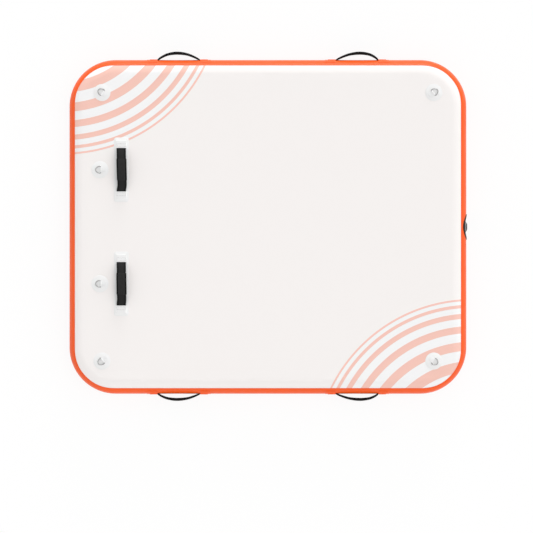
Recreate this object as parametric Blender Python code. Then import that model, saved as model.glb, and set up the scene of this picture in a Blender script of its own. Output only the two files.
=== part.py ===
"""Inflatable dock platform, in metres.

+Z is up. +X runs along the long side, and the valve is in the wall at its +X end. The origin is the
middle of the flat underside. Every sheet of the air chamber is laid out on one rail: a side profile
that runs round a rounded rectangle. A sheet's offset is how far it lies outside the skins' outer face.
"""

from math import acos, asin, cos, dist, hypot, pi, radians, sin

import bmesh
import bpy
from mathutils import Vector

# The whole platform, over the side band
LENGTH = 1.980
WIDTH = 1.665
THICKNESS = 0.150
CORNER_RADIUS = 0.2315
SHOULDER = 0.072

# The sheets, and the clearance between any two pieces that touch
GAP = 0.0003
SKIN = 0.0012
SIDE_STRIP = 0.0012
SEAM_TAPE = 0.0012
BAND = 0.0012
BAND_REACH = 0.028
SEAM_SHARE = 0.727
TAPE_SHARE = 0.63
CORNER_STEPS = 6
PRESSED_STEPS = 3
SHOULDER_STEPS = 4

# The drop-stitch core
PLY = 0.0008
PLY_SETBACK = 0.004
THREAD_BUNDLE = 0.004
THREAD_PITCH = 0.180

# Tie rings, their tabs and base patches
RING_WIRE = 0.0045
RING_INNER_WIDTH = 0.030
RING_DEPTH = 0.026
RING_CORNER = 0.003
RING_BOW_STEPS = 8
RING_BOW_END = radians(78)
RING_BAR_SETBACK = 0.004
RING_PATCH_RADIUS = 0.0425
RING_PATCH_SIDES = 24
TAB_WIDTH = 0.026
TAB_SHEET = 0.0014
TAB_FRONT_FOOT = 0.003
TAB_BACK_FOOT = 0.026
TAB_END_ROUND = 0.008
TAB_ARC_STEPS = 6
CORNER_RING_INSET = 0.165
MIDDLE_RING_INSET = 0.155
CORNER_RING_TURN = radians(38)
PATCH = 0.0012

# Handles: one strap of webbing, a padded grip round its middle, a patch over each end
WEBBING_WIDTH = 0.046
WEBBING = 0.002
WEBBING_TAIL = 0.036
GRIP_WIDTH = 0.050
GRIP_EDGE_SHARE = 0.35
GRIP_CHAMFER = 0.004
GRIP_TAPER_SHARES = (0.66, 0.90, 1.0, 1.0, 1.0, 0.90, 0.66)
ARCH_STEPS = 12
PATCH_RAMP = 0.004
PATCH_MARGIN = 0.008
PATCH_ROUND = 0.0045
PATCH_ROUND_STEPS = 2

DECK_HANDLE_SPAN = 0.216
DECK_HANDLE_RISE = 0.032
DECK_HANDLE_FULLNESS = 3
DECK_GRIP_THICKNESS = 0.009
DECK_HANDLE_INSET = 0.261
DECK_HANDLE_PLACE = 0.2835
DECK_BASE_WIDTH = 0.073
DECK_BASE_MARGIN = 0.004
DECK_BASE_ROUND = 0.012
DECK_BASE_ROUND_STEPS = 4

SIDE_HANDLE_SPAN = 0.213
SIDE_HANDLE_STAND = 0.040
SIDE_HANDLE_FULLNESS = 2
SIDE_HANDLE_SKEW = 0.9
SIDE_GRIP_THICKNESS = 0.011
SIDE_HANDLE_PLACE = 0.444
SIDE_PATCH_TAIL = 0.012

# The inflation valve, turned about a line along X
VALVE_FLANGE_RADIUS = 0.035
VALVE_FLANGE = 0.0025
VALVE_FLANGE_EDGE = 0.0006
VALVE_NECK_RADIUS = 0.024
VALVE_NECK = 0.004
VALVE_RIM = 0.0012
VALVE_RIM_LIP = 0.0015
VALVE_MOUTH_RADIUS = 0.0163
VALVE_BARREL_RADIUS = 0.021
VALVE_BARREL = 0.030
VALVE_SEAT_RADIUS = 0.009
VALVE_SEAT = 0.004
VALVE_SEAT_CONE = 0.004
VALVE_SIDES = 24
VALVE_FLAT_MARGIN = 0.0013
VALVE_PRESS_BLEND = 0.060
VALVE_PATCH_RADIUS = 0.056
VALVE_PATCH_HEIGHT = 0.050
NUT_RADIUS = 0.028
NUT_NOTCH = 0.0025
NUT_NOTCH_EVERY = 3
NUT = 0.006
SPIDER = 0.003
SPIDER_DEPTH = 0.020
SPIDER_HUB_RADIUS = 0.0055
SPOKE_WIDTH = 0.003
SPOKES = 3
STEM_RADIUS = 0.0022
STEM_DISC_RADIUS = 0.012
STEM_DISC = 0.002
STEM_SEAL = 0.0014
BUTTON_RADIUS = 0.008
BUTTON = 0.003
BUTTON_FLOOR = 0.0013
BUTTON_DEPTH = 0.005
SPRING_WIRE = 0.0009
SPRING_RADIUS = 0.0042
SPRING_TURNS = 4
SPRING_TURN_POINTS = 8
CAP_RADIUS = 0.018
CAP_HEAD = 0.0014
CAP_SKIRT = 0.003
CAP_SKIRT_DEPTH = 0.0045
CAP_GRIP = 0.0018
CAP_GRIP_WIDTH = 0.006
CAP_GRIP_LENGTH = 0.028
CAP_EDGE = 0.0004
TETHER = 0.0012
TETHER_RING = 0.003
TETHER_LOOP = 0.004
TETHER_WIDTH = 0.008
TETHER_BULGE = 0.009
TETHER_BOW_STEPS = 6

# How far a cutter runs past what it cuts, or a joined piece into its neighbour
OVERRUN = 0.0005
CUTTER_LENGTH = 0.060

# Sizes that follow
HALF_THICKNESS = THICKNESS / 2
BAND_OUT = GAP + BAND
RAIL_X = LENGTH / 2 - BAND_OUT - SHOULDER
RAIL_Y = WIDTH / 2 - BAND_OUT - SHOULDER
RAIL_RADIUS = CORNER_RADIUS - BAND_OUT - SHOULDER
BAND_ANGLE = acos(1 - BAND_REACH / SHOULDER)
SEAM_ANGLE = SEAM_SHARE * BAND_ANGLE
TAPE_ANGLE = SEAM_ANGLE + TAPE_SHARE * (BAND_ANGLE - SEAM_ANGLE)
PRESSED_ANGLE = asin((VALVE_FLANGE_RADIUS + VALVE_FLAT_MARGIN) / HALF_THICKNESS)
PRESSED_DEPTH = SHOULDER * (1 - cos(PRESSED_ANGLE))
PRESSED_FLAT = VALVE_FLANGE_RADIUS + VALVE_FLAT_MARGIN
WALL_ANGLES = [PRESSED_ANGLE * i / PRESSED_STEPS for i in range(PRESSED_STEPS + 1)] + [SEAM_ANGLE]
DECK_ANGLES = [
    BAND_ANGLE + (pi / 2 - BAND_ANGLE) * i / SHOULDER_STEPS for i in range(SHOULDER_STEPS + 1)
]
RAIL_ANGLES = WALL_ANGLES + [TAPE_ANGLE] + DECK_ANGLES
PRESSED_STATION_SHARES = (0, 0.33, 0.66, 1.0)
DECK_TOP = THICKNESS + GAP
PATCH_TOP = DECK_TOP + PATCH
WALL_OUT = BAND_OUT + GAP
FLANGE_FACE = RAIL_X + SHOULDER - PRESSED_DEPTH + BAND_OUT + GAP + PATCH + GAP + VALVE_FLANGE
VALVE_AXIS_HEIGHT = HALF_THICKNESS
HANDLE_ROOT = GAP + WEBBING / 2


def clear_scene():
    for obj in list(bpy.data.objects):
        bpy.data.objects.remove(obj, do_unlink=True)


def make_material(name, colour, roughness, metallic=0.0):
    material = bpy.data.materials.new(name)
    material.use_nodes = True
    shader = material.node_tree.nodes["Principled BSDF"]
    shader.inputs["Base Color"].default_value = (*colour, 1.0)
    shader.inputs["Roughness"].default_value = roughness
    shader.inputs["Metallic"].default_value = metallic
    material.diffuse_color = (*colour, 1.0)
    return material


def make_object(name, bm, material, origin=(0, 0, 0), smooth_angle=30):
    """Turns a bmesh in world coordinates into an object whose own origin is at the given point."""
    bmesh.ops.recalc_face_normals(bm, faces=bm.faces)
    bmesh.ops.translate(bm, verts=bm.verts, vec=-Vector(origin))
    mesh = bpy.data.meshes.new(name)
    bm.to_mesh(mesh)
    bm.free()
    mesh.materials.append(material)
    mesh.shade_smooth()
    mesh.set_sharp_from_angle(angle=radians(smooth_angle))
    obj = bpy.data.objects.new(name, mesh)
    obj.location = origin
    bpy.context.scene.collection.objects.link(obj)
    return obj


def make_helper(name, bm):
    """A cutter, or a shape to be joined on: drawn as wires and never rendered."""
    helper = make_object(name, bm, bpy.data.materials["helper"])
    helper.hide_render = True
    helper.display_type = "WIRE"
    return helper


def add_boolean(obj, helper, operation):
    modifier = obj.modifiers.new(f"{operation.lower()} {helper.name}", "BOOLEAN")
    modifier.object = helper
    modifier.operation = operation
    modifier.solver = "EXACT"


def add_quad(bm, corners, split):
    """A face with four corners. A twisted one is split from the corner nearest the valve on every sheet."""
    if not split:
        bm.faces.new(corners)
        return
    nearest = min(range(4), key=lambda i: hypot(corners[i].co.y, corners[i].co.z - HALF_THICKNESS))
    a, b, c, d = corners[nearest:] + corners[:nearest]
    bm.faces.new((a, b, c))
    bm.faces.new((a, c, d))


def add_rings(bm, rings, closed, split=False):
    """Joins each ring of points to the next with faces. A closed loft also joins the last to the first."""
    made = [[bm.verts.new(point) for point in ring] for ring in rings]
    pairs = list(zip(made, made[1:]))
    if closed:
        pairs.append((made[-1], made[0]))
    for first, second in pairs:
        for i, corner in enumerate(first):
            add_quad(bm, (first[i - 1], corner, second[i], second[i - 1]), split)
    return made


def add_sweep(bm, rings):
    """A solid along a row of rings, with a flat face over each end."""
    made = add_rings(bm, rings, closed=False)
    bm.faces.new(made[0])
    bm.faces.new(made[-1])


def add_prism(bm, outline, start, end, to_point):
    """A flat outline carried from one level to another. to_point places (first, second, level)."""
    add_sweep(bm, [[to_point(a, b, level) for a, b in outline] for level in (start, end)])


def circle(radius, sides, other_radius=None):
    other = radius if other_radius is None else other_radius
    turns = [2 * pi * i / sides for i in range(sides)]
    return [(radius * cos(turn), other * sin(turn)) for turn in turns]


# The rail: the side's profile, and one turn of it round the platform


def profile_point(angle, offset):
    """How far out from the rail and how high a sheet face lies, at an angle round the half-round side."""
    out_normal = HALF_THICKNESS * cos(angle)
    up_normal = SHOULDER * sin(angle)
    length = hypot(out_normal, up_normal)
    out = SHOULDER * cos(angle) + offset * out_normal / length
    height = HALF_THICKNESS * (1 + sin(angle)) + offset * up_normal / length
    return out, height


def facet_point(rise, offset):
    """The same for a distance above or below the middle of the side, on the flat facets of the rail."""
    side = -1 if rise < 0 else 1
    levels = [HALF_THICKNESS * sin(angle) for angle in RAIL_ANGLES]
    step = next(i for i in range(1, len(levels)) if abs(rise) <= levels[i] or i == len(levels) - 1)
    share = (abs(rise) - levels[step - 1]) / (levels[step] - levels[step - 1])
    low = profile_point(side * RAIL_ANGLES[step - 1], offset)
    high = profile_point(side * RAIL_ANGLES[step], offset)
    return tuple(a + (b - a) * share for a, b in zip(low, high))


def pressed_limit(y):
    """How far out the skins' face may reach at the +X end, where the valve's clamp presses the wall flat."""
    share = min(max((abs(y) - PRESSED_FLAT) / VALVE_PRESS_BLEND, 0), 1)
    return RAIL_X + SHOULDER - PRESSED_DEPTH * (1 - share * share * (3 - 2 * share))


def pressed_reach(angle, offset, y):
    """How far out a sheet reaches at the +X end: the same choice of curve or flat for every sheet."""
    limit = pressed_limit(y)
    if RAIL_X + SHOULDER * cos(angle) > limit + GAP / 10:
        return limit + offset
    return RAIL_X + profile_point(angle, offset)[0]


def pressed_stations():
    places = [PRESSED_FLAT + VALVE_PRESS_BLEND * share for share in PRESSED_STATION_SHARES]
    return [-y for y in reversed(places)] + places


def rail_loop(angle, offset, pressed):
    out, height = profile_point(angle, offset)
    radius = RAIL_RADIUS + out
    centre_x = RAIL_X - RAIL_RADIUS
    centre_y = RAIL_Y - RAIL_RADIUS
    loop = []
    if pressed:
        for y in pressed_stations():
            loop.append((pressed_reach(angle, offset, y), y, height))
    for quarter, (side_x, side_y) in enumerate(((1, 1), (-1, 1), (-1, -1), (1, -1))):
        for step in range(CORNER_STEPS + 1):
            turn = (quarter + step / CORNER_STEPS) * pi / 2
            x = side_x * centre_x + radius * cos(turn)
            y = side_y * centre_y + radius * sin(turn)
            loop.append((x, y, height))
    return loop


def make_strip(name, angles, inner, outer, material, pressed=False):
    """A sheet that runs all the way round the side, between two offsets."""
    bm = bmesh.new()
    rings = [rail_loop(angle, outer, pressed) for angle in angles]
    rings += [rail_loop(angle, inner, pressed) for angle in reversed(angles)]
    add_rings(bm, rings, closed=True, split=pressed)
    return make_object(name, bm, material, smooth_angle=25)


def make_skin(name, side, material):
    """A deck or bottom skin: a flat sheet whose rim wraps over the shoulder as far as the butt joint."""
    angles = [side * angle for angle in [SEAM_ANGLE, TAPE_ANGLE] + DECK_ANGLES]
    bm = bmesh.new()
    outer = add_rings(bm, [rail_loop(angle, 0, False) for angle in angles], closed=False)
    inner = add_rings(bm, [rail_loop(angle, -SKIN, False) for angle in angles], closed=False)
    bm.faces.new(outer[-1])
    bm.faces.new(inner[-1])
    for i, corner in enumerate(outer[0]):
        bm.faces.new((outer[0][i - 1], corner, inner[0][i], inner[0][i - 1]))
    return make_object(name, bm, material, smooth_angle=25)


def make_chamber(materials):
    make_skin("top_deck_skin", 1, materials["deck"])
    make_skin("bottom_skin", -1, materials["bottom"])
    below_seam = SEAM_ANGLE - GAP / HALF_THICKNESS
    wall = WALL_ANGLES[:-1] + [below_seam]
    wall_both = [-angle for angle in reversed(wall[1:])] + wall
    strip = make_strip("inner_side_wall", wall_both, -SIDE_STRIP, 0, materials["inner_wall"], pressed=True)
    covered = WALL_ANGLES + [TAPE_ANGLE, BAND_ANGLE]
    band_both = [-angle for angle in reversed(covered[1:])] + covered
    band = make_strip("outer_side_band", band_both, GAP, BAND_OUT, materials["band"], pressed=True)
    tape_out = -SIDE_STRIP - GAP
    taped = [PRESSED_ANGLE, SEAM_ANGLE, TAPE_ANGLE]
    make_strip("inner_seam_tape_top", taped, tape_out - SEAM_TAPE, tape_out, materials["tape"])
    lower = [-angle for angle in taped]
    make_strip("inner_seam_tape_bottom", lower, tape_out - SEAM_TAPE, tape_out, materials["tape"])
    return strip, band


def make_core(material):
    """Two plies held apart by rows of thread bundles, as one body."""
    lower = SKIN + GAP
    upper = THICKNESS - SKIN - GAP - PLY
    inset = RAIL_RADIUS - PLY_SETBACK
    outline = []
    for quarter, (side_x, side_y) in enumerate(((1, 1), (-1, 1), (-1, -1), (1, -1))):
        for step in range(CORNER_STEPS + 1):
            turn = (quarter + step / CORNER_STEPS) * pi / 2
            x = side_x * (RAIL_X - RAIL_RADIUS) + inset * cos(turn)
            y = side_y * (RAIL_Y - RAIL_RADIUS) + inset * sin(turn)
            outline.append((x, y))
    upright = lambda x, y, z: (x, y, z)
    bm = bmesh.new()
    add_prism(bm, outline, upper, upper + PLY, upright)
    core = make_object("drop_stitch_core", bm, material)
    bm = bmesh.new()
    add_prism(bm, outline, lower, lower + PLY, upright)
    add_boolean(core, make_helper("lower_ply", bm), "UNION")
    bm = bmesh.new()
    half = THREAD_BUNDLE / 2
    across = int(2 * (RAIL_X - RAIL_RADIUS) / THREAD_PITCH)
    along = int(2 * (RAIL_Y - RAIL_RADIUS) / THREAD_PITCH)
    for column in range(across + 1):
        for row in range(along + 1):
            x = (column - across / 2) * THREAD_PITCH
            y = (row - along / 2) * THREAD_PITCH
            square = [(x - half, y - half), (x + half, y - half), (x + half, y + half), (x - half, y + half)]
            add_prism(bm, square, lower + PLY / 2, upper + PLY / 2, upright)
    add_boolean(core, make_helper("thread_bundles", bm), "UNION")


# Tie rings


def ring_places():
    """Name, patch centre and the way the bow points, for each tie ring."""
    x = LENGTH / 2 - CORNER_RING_INSET
    y = WIDTH / 2 - CORNER_RING_INSET
    turn = CORNER_RING_TURN
    return (
        ("corner_back_left", -x, y, pi - turn),
        ("corner_back_right", x, y, turn),
        ("corner_front_left", -x, -y, pi + turn),
        ("corner_front_right", x, -y, -turn),
        ("middle_back", -(LENGTH / 2 - MIDDLE_RING_INSET), DECK_HANDLE_PLACE, pi),
        ("middle_front", -(LENGTH / 2 - MIDDLE_RING_INSET), -DECK_HANDLE_PLACE, pi),
    )


def ring_curve():
    """A D of round wire. The straight bar lies on local Y through the origin and the bow reaches along +X."""
    half = (RING_INNER_WIDTH + RING_WIRE) / 2
    points = [(0, half - RING_CORNER), (0, RING_CORNER - half)]
    for step in range(RING_BOW_STEPS + 1):
        turn = -RING_BOW_END + 2 * RING_BOW_END * step / RING_BOW_STEPS
        points.append((RING_DEPTH * cos(turn), half * sin(turn)))
    curve = bpy.data.curves.new("d_ring", "CURVE")
    curve.dimensions = "3D"
    curve.bevel_depth = RING_WIRE / 2
    curve.bevel_resolution = 2
    spline = curve.splines.new("POLY")
    spline.points.add(len(points) - 1)
    for point, (x, y) in zip(spline.points, points):
        point.co = (x, y, 0, 1)
    spline.use_cyclic_u = True
    return curve


def tab_profile():
    """The side view of the folded strip: a front foot, a tunnel over the bar and a long back foot."""
    bar = GAP + RING_WIRE / 2
    tunnel = RING_WIRE / 2 + GAP
    turns = [pi * i / TAB_ARC_STEPS for i in range(TAB_ARC_STEPS + 1)]
    hump = tunnel + TAB_SHEET
    front = hump + TAB_FRONT_FOOT
    under = [(front, GAP), (tunnel, GAP)]
    under += [(tunnel * cos(turn), bar + tunnel * sin(turn)) for turn in turns]
    under += [(-tunnel, GAP), (-TAB_BACK_FOOT, GAP)]
    over = [(-TAB_BACK_FOOT, GAP + TAB_SHEET), (-hump, GAP + TAB_SHEET)]
    over += [(hump * cos(turn), bar + hump * sin(turn)) for turn in reversed(turns)]
    over += [(hump, GAP + TAB_SHEET), (front, GAP + TAB_SHEET)]
    return under + over


def make_tab_mesh(bm):
    half = TAB_WIDTH / 2
    add_prism(bm, tab_profile(), -half, half, lambda x, z, y: (x, y, z))
    ends = []
    for edge in bm.edges:
        first, second = (vert.co for vert in edge.verts)
        if max(first.x, second.x) < GAP - TAB_BACK_FOOT and abs(first.z - second.z) > GAP:
            ends.append(edge)
    bmesh.ops.bevel(bm, geom=ends, offset=TAB_END_ROUND, segments=3, profile=0.5, affect="EDGES")


def make_rings(materials):
    curve = ring_curve()
    curve.materials.append(materials["steel"])
    for name, x, y, turn in ring_places():
        bm = bmesh.new()
        disc = circle(RING_PATCH_RADIUS, RING_PATCH_SIDES)
        add_prism(bm, disc, DECK_TOP, PATCH_TOP, lambda a, b, z: (a, b, z))
        bmesh.ops.translate(bm, verts=bm.verts, vec=(x, y, 0))
        make_object(f"ring_patch_{name}", bm, materials["patch"])
        bar_x = x - RING_BAR_SETBACK * cos(turn)
        bar_y = y - RING_BAR_SETBACK * sin(turn)
        bm = bmesh.new()
        make_tab_mesh(bm)
        tab = make_object(f"ring_tab_{name}", bm, materials["tab"])
        tab.location = (bar_x, bar_y, PATCH_TOP)
        tab.rotation_euler = (0, 0, turn)
        ring = bpy.data.objects.new(f"d_ring_{name}", curve)
        ring.location = (bar_x, bar_y, PATCH_TOP + GAP + RING_WIRE / 2)
        ring.rotation_euler = (0, 0, turn)
        bpy.context.scene.collection.objects.link(ring)


# Handles. A path is in a plane: s runs along the strap's chord, and h is the height of its middle


def arch_path(span, rise, fullness, skew, root):
    """Stations (s, h, share along the arch) of a strap: a flat tail, the arch and the other tail."""
    path = [(-WEBBING_TAIL, root, None)]
    for step in range(ARCH_STEPS + 1):
        share = step / ARCH_STEPS
        height = root + (rise - root) * (1 - abs(2 * share - 1) ** fullness)
        path.append((span * share ** (1 / skew), height, share))
    path.append((span + WEBBING_TAIL, root, None))
    return path


def station_normals(path):
    """The strap's normal at each station, lengthened at a bend so that the strap keeps its thickness."""
    ways = []
    for (s0, h0, _), (s1, h1, _) in zip(path, path[1:]):
        length = hypot(s1 - s0, h1 - h0)
        ways.append(Vector((-(h1 - h0) / length, (s1 - s0) / length)))
    normals = []
    for before, after in zip([ways[0]] + ways, ways + [ways[-1]]):
        middle = (before + after).normalized()
        normals.append(middle / middle.dot(before))
    return normals


def web_stations(path):
    """(s, h, normal, how far the strap is from lying on the surface, from 0 to 1) at each station."""
    stations = []
    for (s, h, share), normal in zip(path, station_normals(path)):
        free = 0 if share is None else min(1, 4 * min(share, 1 - share))
        stations.append((s, h, normal, free))
    return stations


def make_webbing(name, path, across, material, to_point, origin):
    """A strap of webbing: its section has the given points across, over and under the path."""
    rings = []
    for s, h, normal, free in web_stations(path):
        ring = []
        for side, places in ((1, across), (-1, list(reversed(across)))):
            level = side * WEBBING / 2
            for place in places:
                ring.append(to_point(s + normal.x * level, place, h + normal.y * level, free))
        rings.append(ring)
    bm = bmesh.new()
    add_sweep(bm, rings)
    return make_object(name, bm, material, origin)


def make_grip(name, path, thickness, material, to_point, origin):
    """A padded sleeve on the middle half of the arch, with a slot that the webbing runs through."""
    half = GRIP_WIDTH / 2
    slot = WEBBING_WIDTH / 2 + GAP
    slot_up = WEBBING / 2 + GAP
    stations = [item for item in web_stations(path) if item[3] == 1]
    outer_rings = []
    inner_rings = []
    for (s, h, normal, free), taper in zip(stations, GRIP_TAPER_SHARES):
        up = taper * thickness / 2
        edge = GRIP_EDGE_SHARE * up
        shoulder = half - GRIP_CHAMFER
        outer = [(half, -edge), (half, edge), (shoulder, up), (-shoulder, up)]
        outer += [(-half, edge), (-half, -edge), (-shoulder, -up), (shoulder, -up)]
        bend = shoulder - slot_up
        inner = [(slot, -slot_up), (slot, slot_up), (bend, slot_up), (-bend, slot_up)]
        inner += [(-slot, slot_up), (-slot, -slot_up), (-bend, -slot_up), (bend, -slot_up)]
        for section, rings in ((outer, outer_rings), (inner, inner_rings)):
            rings.append([to_point(s + normal.x * b, a, h + normal.y * b, free) for a, b in section])
    bm = bmesh.new()
    add_rings(bm, outer_rings + inner_rings[::-1], closed=True)
    return make_object(name, bm, material, origin)


def make_end_patch(name, columns, rows, low, material, to_point):
    """A sheet over a strap's end. Its middle rows and first columns are raised to clear the webbing."""
    raised = WEBBING + GAP
    edge = rows[-1][0]
    rings = []
    for s, column_up, pulled in columns:
        trimmed = [(max(pulled - edge, min(edge - pulled, place)), min(up, column_up)) for place, up in rows]
        upper = [to_point(s, place, low + PATCH + raised * up, 0) for place, up in trimmed]
        lower = [to_point(s, place, low + raised * up, 0) for place, up in reversed(trimmed)]
        rings.append(upper + lower)
    bm = bmesh.new()
    made = add_rings(bm, rings, closed=False)
    count = len(rows)
    for ring in (made[0], made[-1]):
        for i in range(count - 1):
            bm.faces.new((ring[i], ring[i + 1], ring[2 * count - 2 - i], ring[2 * count - 1 - i]))
    return make_object(name, bm, material)


def patch_columns(mouth, way, margin):
    """Where an end patch is raised, and how far its edges are pulled in, from its open mouth outwards."""
    tail = WEBBING_TAIL + GAP
    end = tail + PATCH_RAMP + margin
    columns = [(0, 1, 0), (tail, 1, 0), (tail + PATCH_RAMP, 0, 0)]
    for step in range(PATCH_ROUND_STEPS + 1):
        turn = pi / 2 * step / PATCH_ROUND_STEPS
        columns.append((end - PATCH_ROUND * (1 - sin(turn)), 0, PATCH_ROUND * (1 - cos(turn))))
    return [(mouth + way * place, up, pulled) for place, up, pulled in columns]


def mirrored_rows(rows):
    """Rows for both sides of the strap, from the half with positive places."""
    return [(-place, up) for place, up in reversed(rows) if place > 0] + list(rows)


def rounded_outline(half_x, half_y, radius, steps):
    outline = []
    for quarter, (side_x, side_y) in enumerate(((1, 1), (-1, 1), (-1, -1), (1, -1))):
        for step in range(steps + 1):
            turn = (quarter + step / steps) * pi / 2
            x = side_x * (half_x - radius) + radius * cos(turn)
            y = side_y * (half_y - radius) + radius * sin(turn)
            outline.append((x, y))
    return outline


def make_deck_handle(name, side, materials):
    x0 = -(LENGTH / 2 - DECK_HANDLE_INSET)
    y0 = side * DECK_HANDLE_PLACE
    start = y0 - DECK_HANDLE_SPAN / 2
    to_point = lambda s, across, h, free: (x0 + across, start + s, PATCH_TOP + h)
    path = arch_path(DECK_HANDLE_SPAN, DECK_HANDLE_RISE, DECK_HANDLE_FULLNESS, 1, HANDLE_ROOT)
    origin = (x0, y0, PATCH_TOP + HANDLE_ROOT)
    tail = WEBBING_TAIL + GAP + PATCH_RAMP + PATCH_MARGIN
    bm = bmesh.new()
    half_y = DECK_HANDLE_SPAN / 2 + tail + DECK_BASE_MARGIN
    outline = rounded_outline(DECK_BASE_WIDTH / 2, half_y, DECK_BASE_ROUND, DECK_BASE_ROUND_STEPS)
    add_prism(bm, outline, DECK_TOP, PATCH_TOP, lambda a, b, z: (x0 + a, y0 + b, z))
    make_object(f"{name}_base_patch", bm, materials["patch"])
    half = WEBBING_WIDTH / 2
    make_webbing(f"{name}_webbing", path, [-half, half], materials["webbing"], to_point, origin)
    make_grip(f"{name}_grip", path, DECK_GRIP_THICKNESS, materials["grip"], to_point, origin)
    plateau = half + 2 * GAP
    edge = DECK_BASE_WIDTH / 2 - DECK_BASE_MARGIN
    rows = mirrored_rows([(plateau, 1), (plateau + PATCH_RAMP, 0), (edge, 0)])
    for number, mouth, way in ((1, 0, -1), (2, DECK_HANDLE_SPAN, 1)):
        columns = patch_columns(mouth, way, PATCH_MARGIN)
        make_end_patch(f"{name}_end_patch_{number}", columns, rows, GAP, materials["patch"], to_point)


def make_side_handle(name, side_x, side_y, materials):
    """The strap stands out of the long wall. Its tails and patches follow the wall's facets."""
    start = side_x * (SIDE_HANDLE_PLACE + SIDE_HANDLE_SPAN / 2)

    def to_point(s, across, h, free):
        near = min(h, WALL_OUT + WEBBING + GAP + PATCH)
        out, height = facet_point(across, near)
        out += h - near
        out += (SHOULDER + h - out) * free
        height += (HALF_THICKNESS + across - height) * free
        return (start - side_x * s, side_y * (RAIL_Y + out), height)

    root = WALL_OUT + WEBBING / 2
    rise = BAND_OUT + SIDE_HANDLE_STAND - SIDE_GRIP_THICKNESS / 2
    path = arch_path(SIDE_HANDLE_SPAN, rise, SIDE_HANDLE_FULLNESS, SIDE_HANDLE_SKEW, root)
    middle = side_x * SIDE_HANDLE_PLACE
    origin = (middle, side_y * (RAIL_Y + SHOULDER + root), HALF_THICKNESS)
    levels = [HALF_THICKNESS * sin(angle) for angle in WALL_ANGLES]
    half = WEBBING_WIDTH / 2
    inside = [level for level in levels if level < half - GAP]
    across = [-half] + [-level for level in reversed(inside[1:])] + inside + [half]
    make_webbing(f"{name}_webbing", path, across, materials["webbing"], to_point, origin)
    make_grip(f"{name}_grip", path, SIDE_GRIP_THICKNESS, materials["grip"], to_point, origin)
    rows = [(0, 1)] + [(level, 1 if level < levels[PRESSED_STEPS] - GAP else 0) for level in levels[1:]]
    rows = mirrored_rows(rows)
    for end, mouth, way in (("outer", 0, -1), ("inner", SIDE_HANDLE_SPAN, 1)):
        columns = patch_columns(mouth, way, SIDE_PATCH_TAIL)
        make_end_patch(f"{name}_patch_{end}", columns, rows, WALL_OUT, materials["band"], to_point)


def make_handles(materials):
    for place, side_y in (("back", 1), ("front", -1)):
        make_deck_handle(f"deck_handle_{place}", side_y, materials)
        for end, side_x in (("left", -1), ("right", 1)):
            make_side_handle(f"side_handle_{place}_{end}", side_x, side_y, materials)


# The valve. u is the distance out from the flange's face, and r the distance from the valve's axis


def valve_point(a, b, u):
    return (FLANGE_FACE + u, a, VALVE_AXIS_HEIGHT + b)


def valve_origin(u=0.0):
    return (FLANGE_FACE + u, 0, VALVE_AXIS_HEIGHT)


def make_turned(name, outline, material, closed=True):
    """Spins an outline of (u, r) points about the valve's axis. An open one starts and ends on the axis."""
    bm = bmesh.new()
    points = [bm.verts.new(valve_point(0, r, u)) for u, r in outline]
    for first, second in zip(points, points[1:]):
        bm.edges.new((first, second))
    if closed:
        bm.edges.new((points[-1], points[0]))
    bmesh.ops.spin(
        bm,
        geom=bm.verts[:] + bm.edges[:],
        cent=valve_origin(),
        axis=(1, 0, 0),
        angle=2 * pi,
        steps=VALVE_SIDES,
        use_merge=True,
    )
    bmesh.ops.remove_doubles(bm, verts=bm.verts, dist=GAP / 10)
    return make_object(name, bm, material, valve_origin())


def valve_ring(name, u_low, u_high, inner, outer):
    """A plain ring as a helper, to be joined to another shape."""
    bm = bmesh.new()
    levels = ((u_low, outer), (u_high, outer), (u_high, inner), (u_low, inner))
    add_rings(bm, [[valve_point(a, b, u) for a, b in circle(r, VALVE_SIDES)] for u, r in levels], closed=True)
    return make_helper(name, bm)


def make_barrel_cutter():
    bm = bmesh.new()
    hole = circle(VALVE_BARREL_RADIUS + GAP, VALVE_SIDES)
    add_prism(bm, hole, -CUTTER_LENGTH / 2, CUTTER_LENGTH / 2, valve_point)
    return make_helper("barrel_cutter", bm)


def make_valve_patch(material):
    """A disc of sheet laid on the band, on the same facets, and trimmed to its round outline."""
    low = WALL_OUT
    angles = [-angle for angle in reversed(WALL_ANGLES[1:] + [TAPE_ANGLE])] + WALL_ANGLES + [TAPE_ANGLE]
    rings = []
    for y in pressed_stations():
        ring = []
        for offset, order in ((low + PATCH, angles), (low, list(reversed(angles)))):
            for angle in order:
                ring.append((pressed_reach(angle, offset, y), y, profile_point(angle, offset)[1]))
        rings.append(ring)
    bm = bmesh.new()
    made = add_rings(bm, rings, closed=False, split=True)
    count = len(angles)
    for ring in (made[0], made[-1]):
        for i in range(count - 1):
            bm.faces.new((ring[i], ring[i + 1], ring[2 * count - 2 - i], ring[2 * count - 1 - i]))
    patch = make_object("valve_patch", bm, material)
    bm = bmesh.new()
    disc = circle(VALVE_PATCH_RADIUS, VALVE_SIDES, VALVE_PATCH_HEIGHT)
    add_prism(bm, disc, -CUTTER_LENGTH, CUTTER_LENGTH, valve_point)
    add_boolean(patch, make_helper("patch_outline", bm), "INTERSECT")
    return patch


def spider_outline():
    """The hub and its spokes, which reach into the barrel's wall."""
    outline = []
    reach = VALVE_MOUTH_RADIUS + OVERRUN
    half = SPOKE_WIDTH / 2
    lean = asin(half / SPIDER_HUB_RADIUS)
    for spoke in range(SPOKES):
        turn = 2 * pi * spoke / SPOKES - pi / 2
        foot = SPIDER_HUB_RADIUS * cos(lean)
        for a, b in ((foot, -half), (reach, -half), (reach, half), (foot, half)):
            outline.append((a * cos(turn) - b * sin(turn), a * sin(turn) + b * cos(turn)))
        for share in (1, 2, 3):
            between = turn + lean + (2 * pi / SPOKES - 2 * lean) * share / 4
            outline.append((SPIDER_HUB_RADIUS * cos(between), SPIDER_HUB_RADIUS * sin(between)))
    return outline


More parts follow.
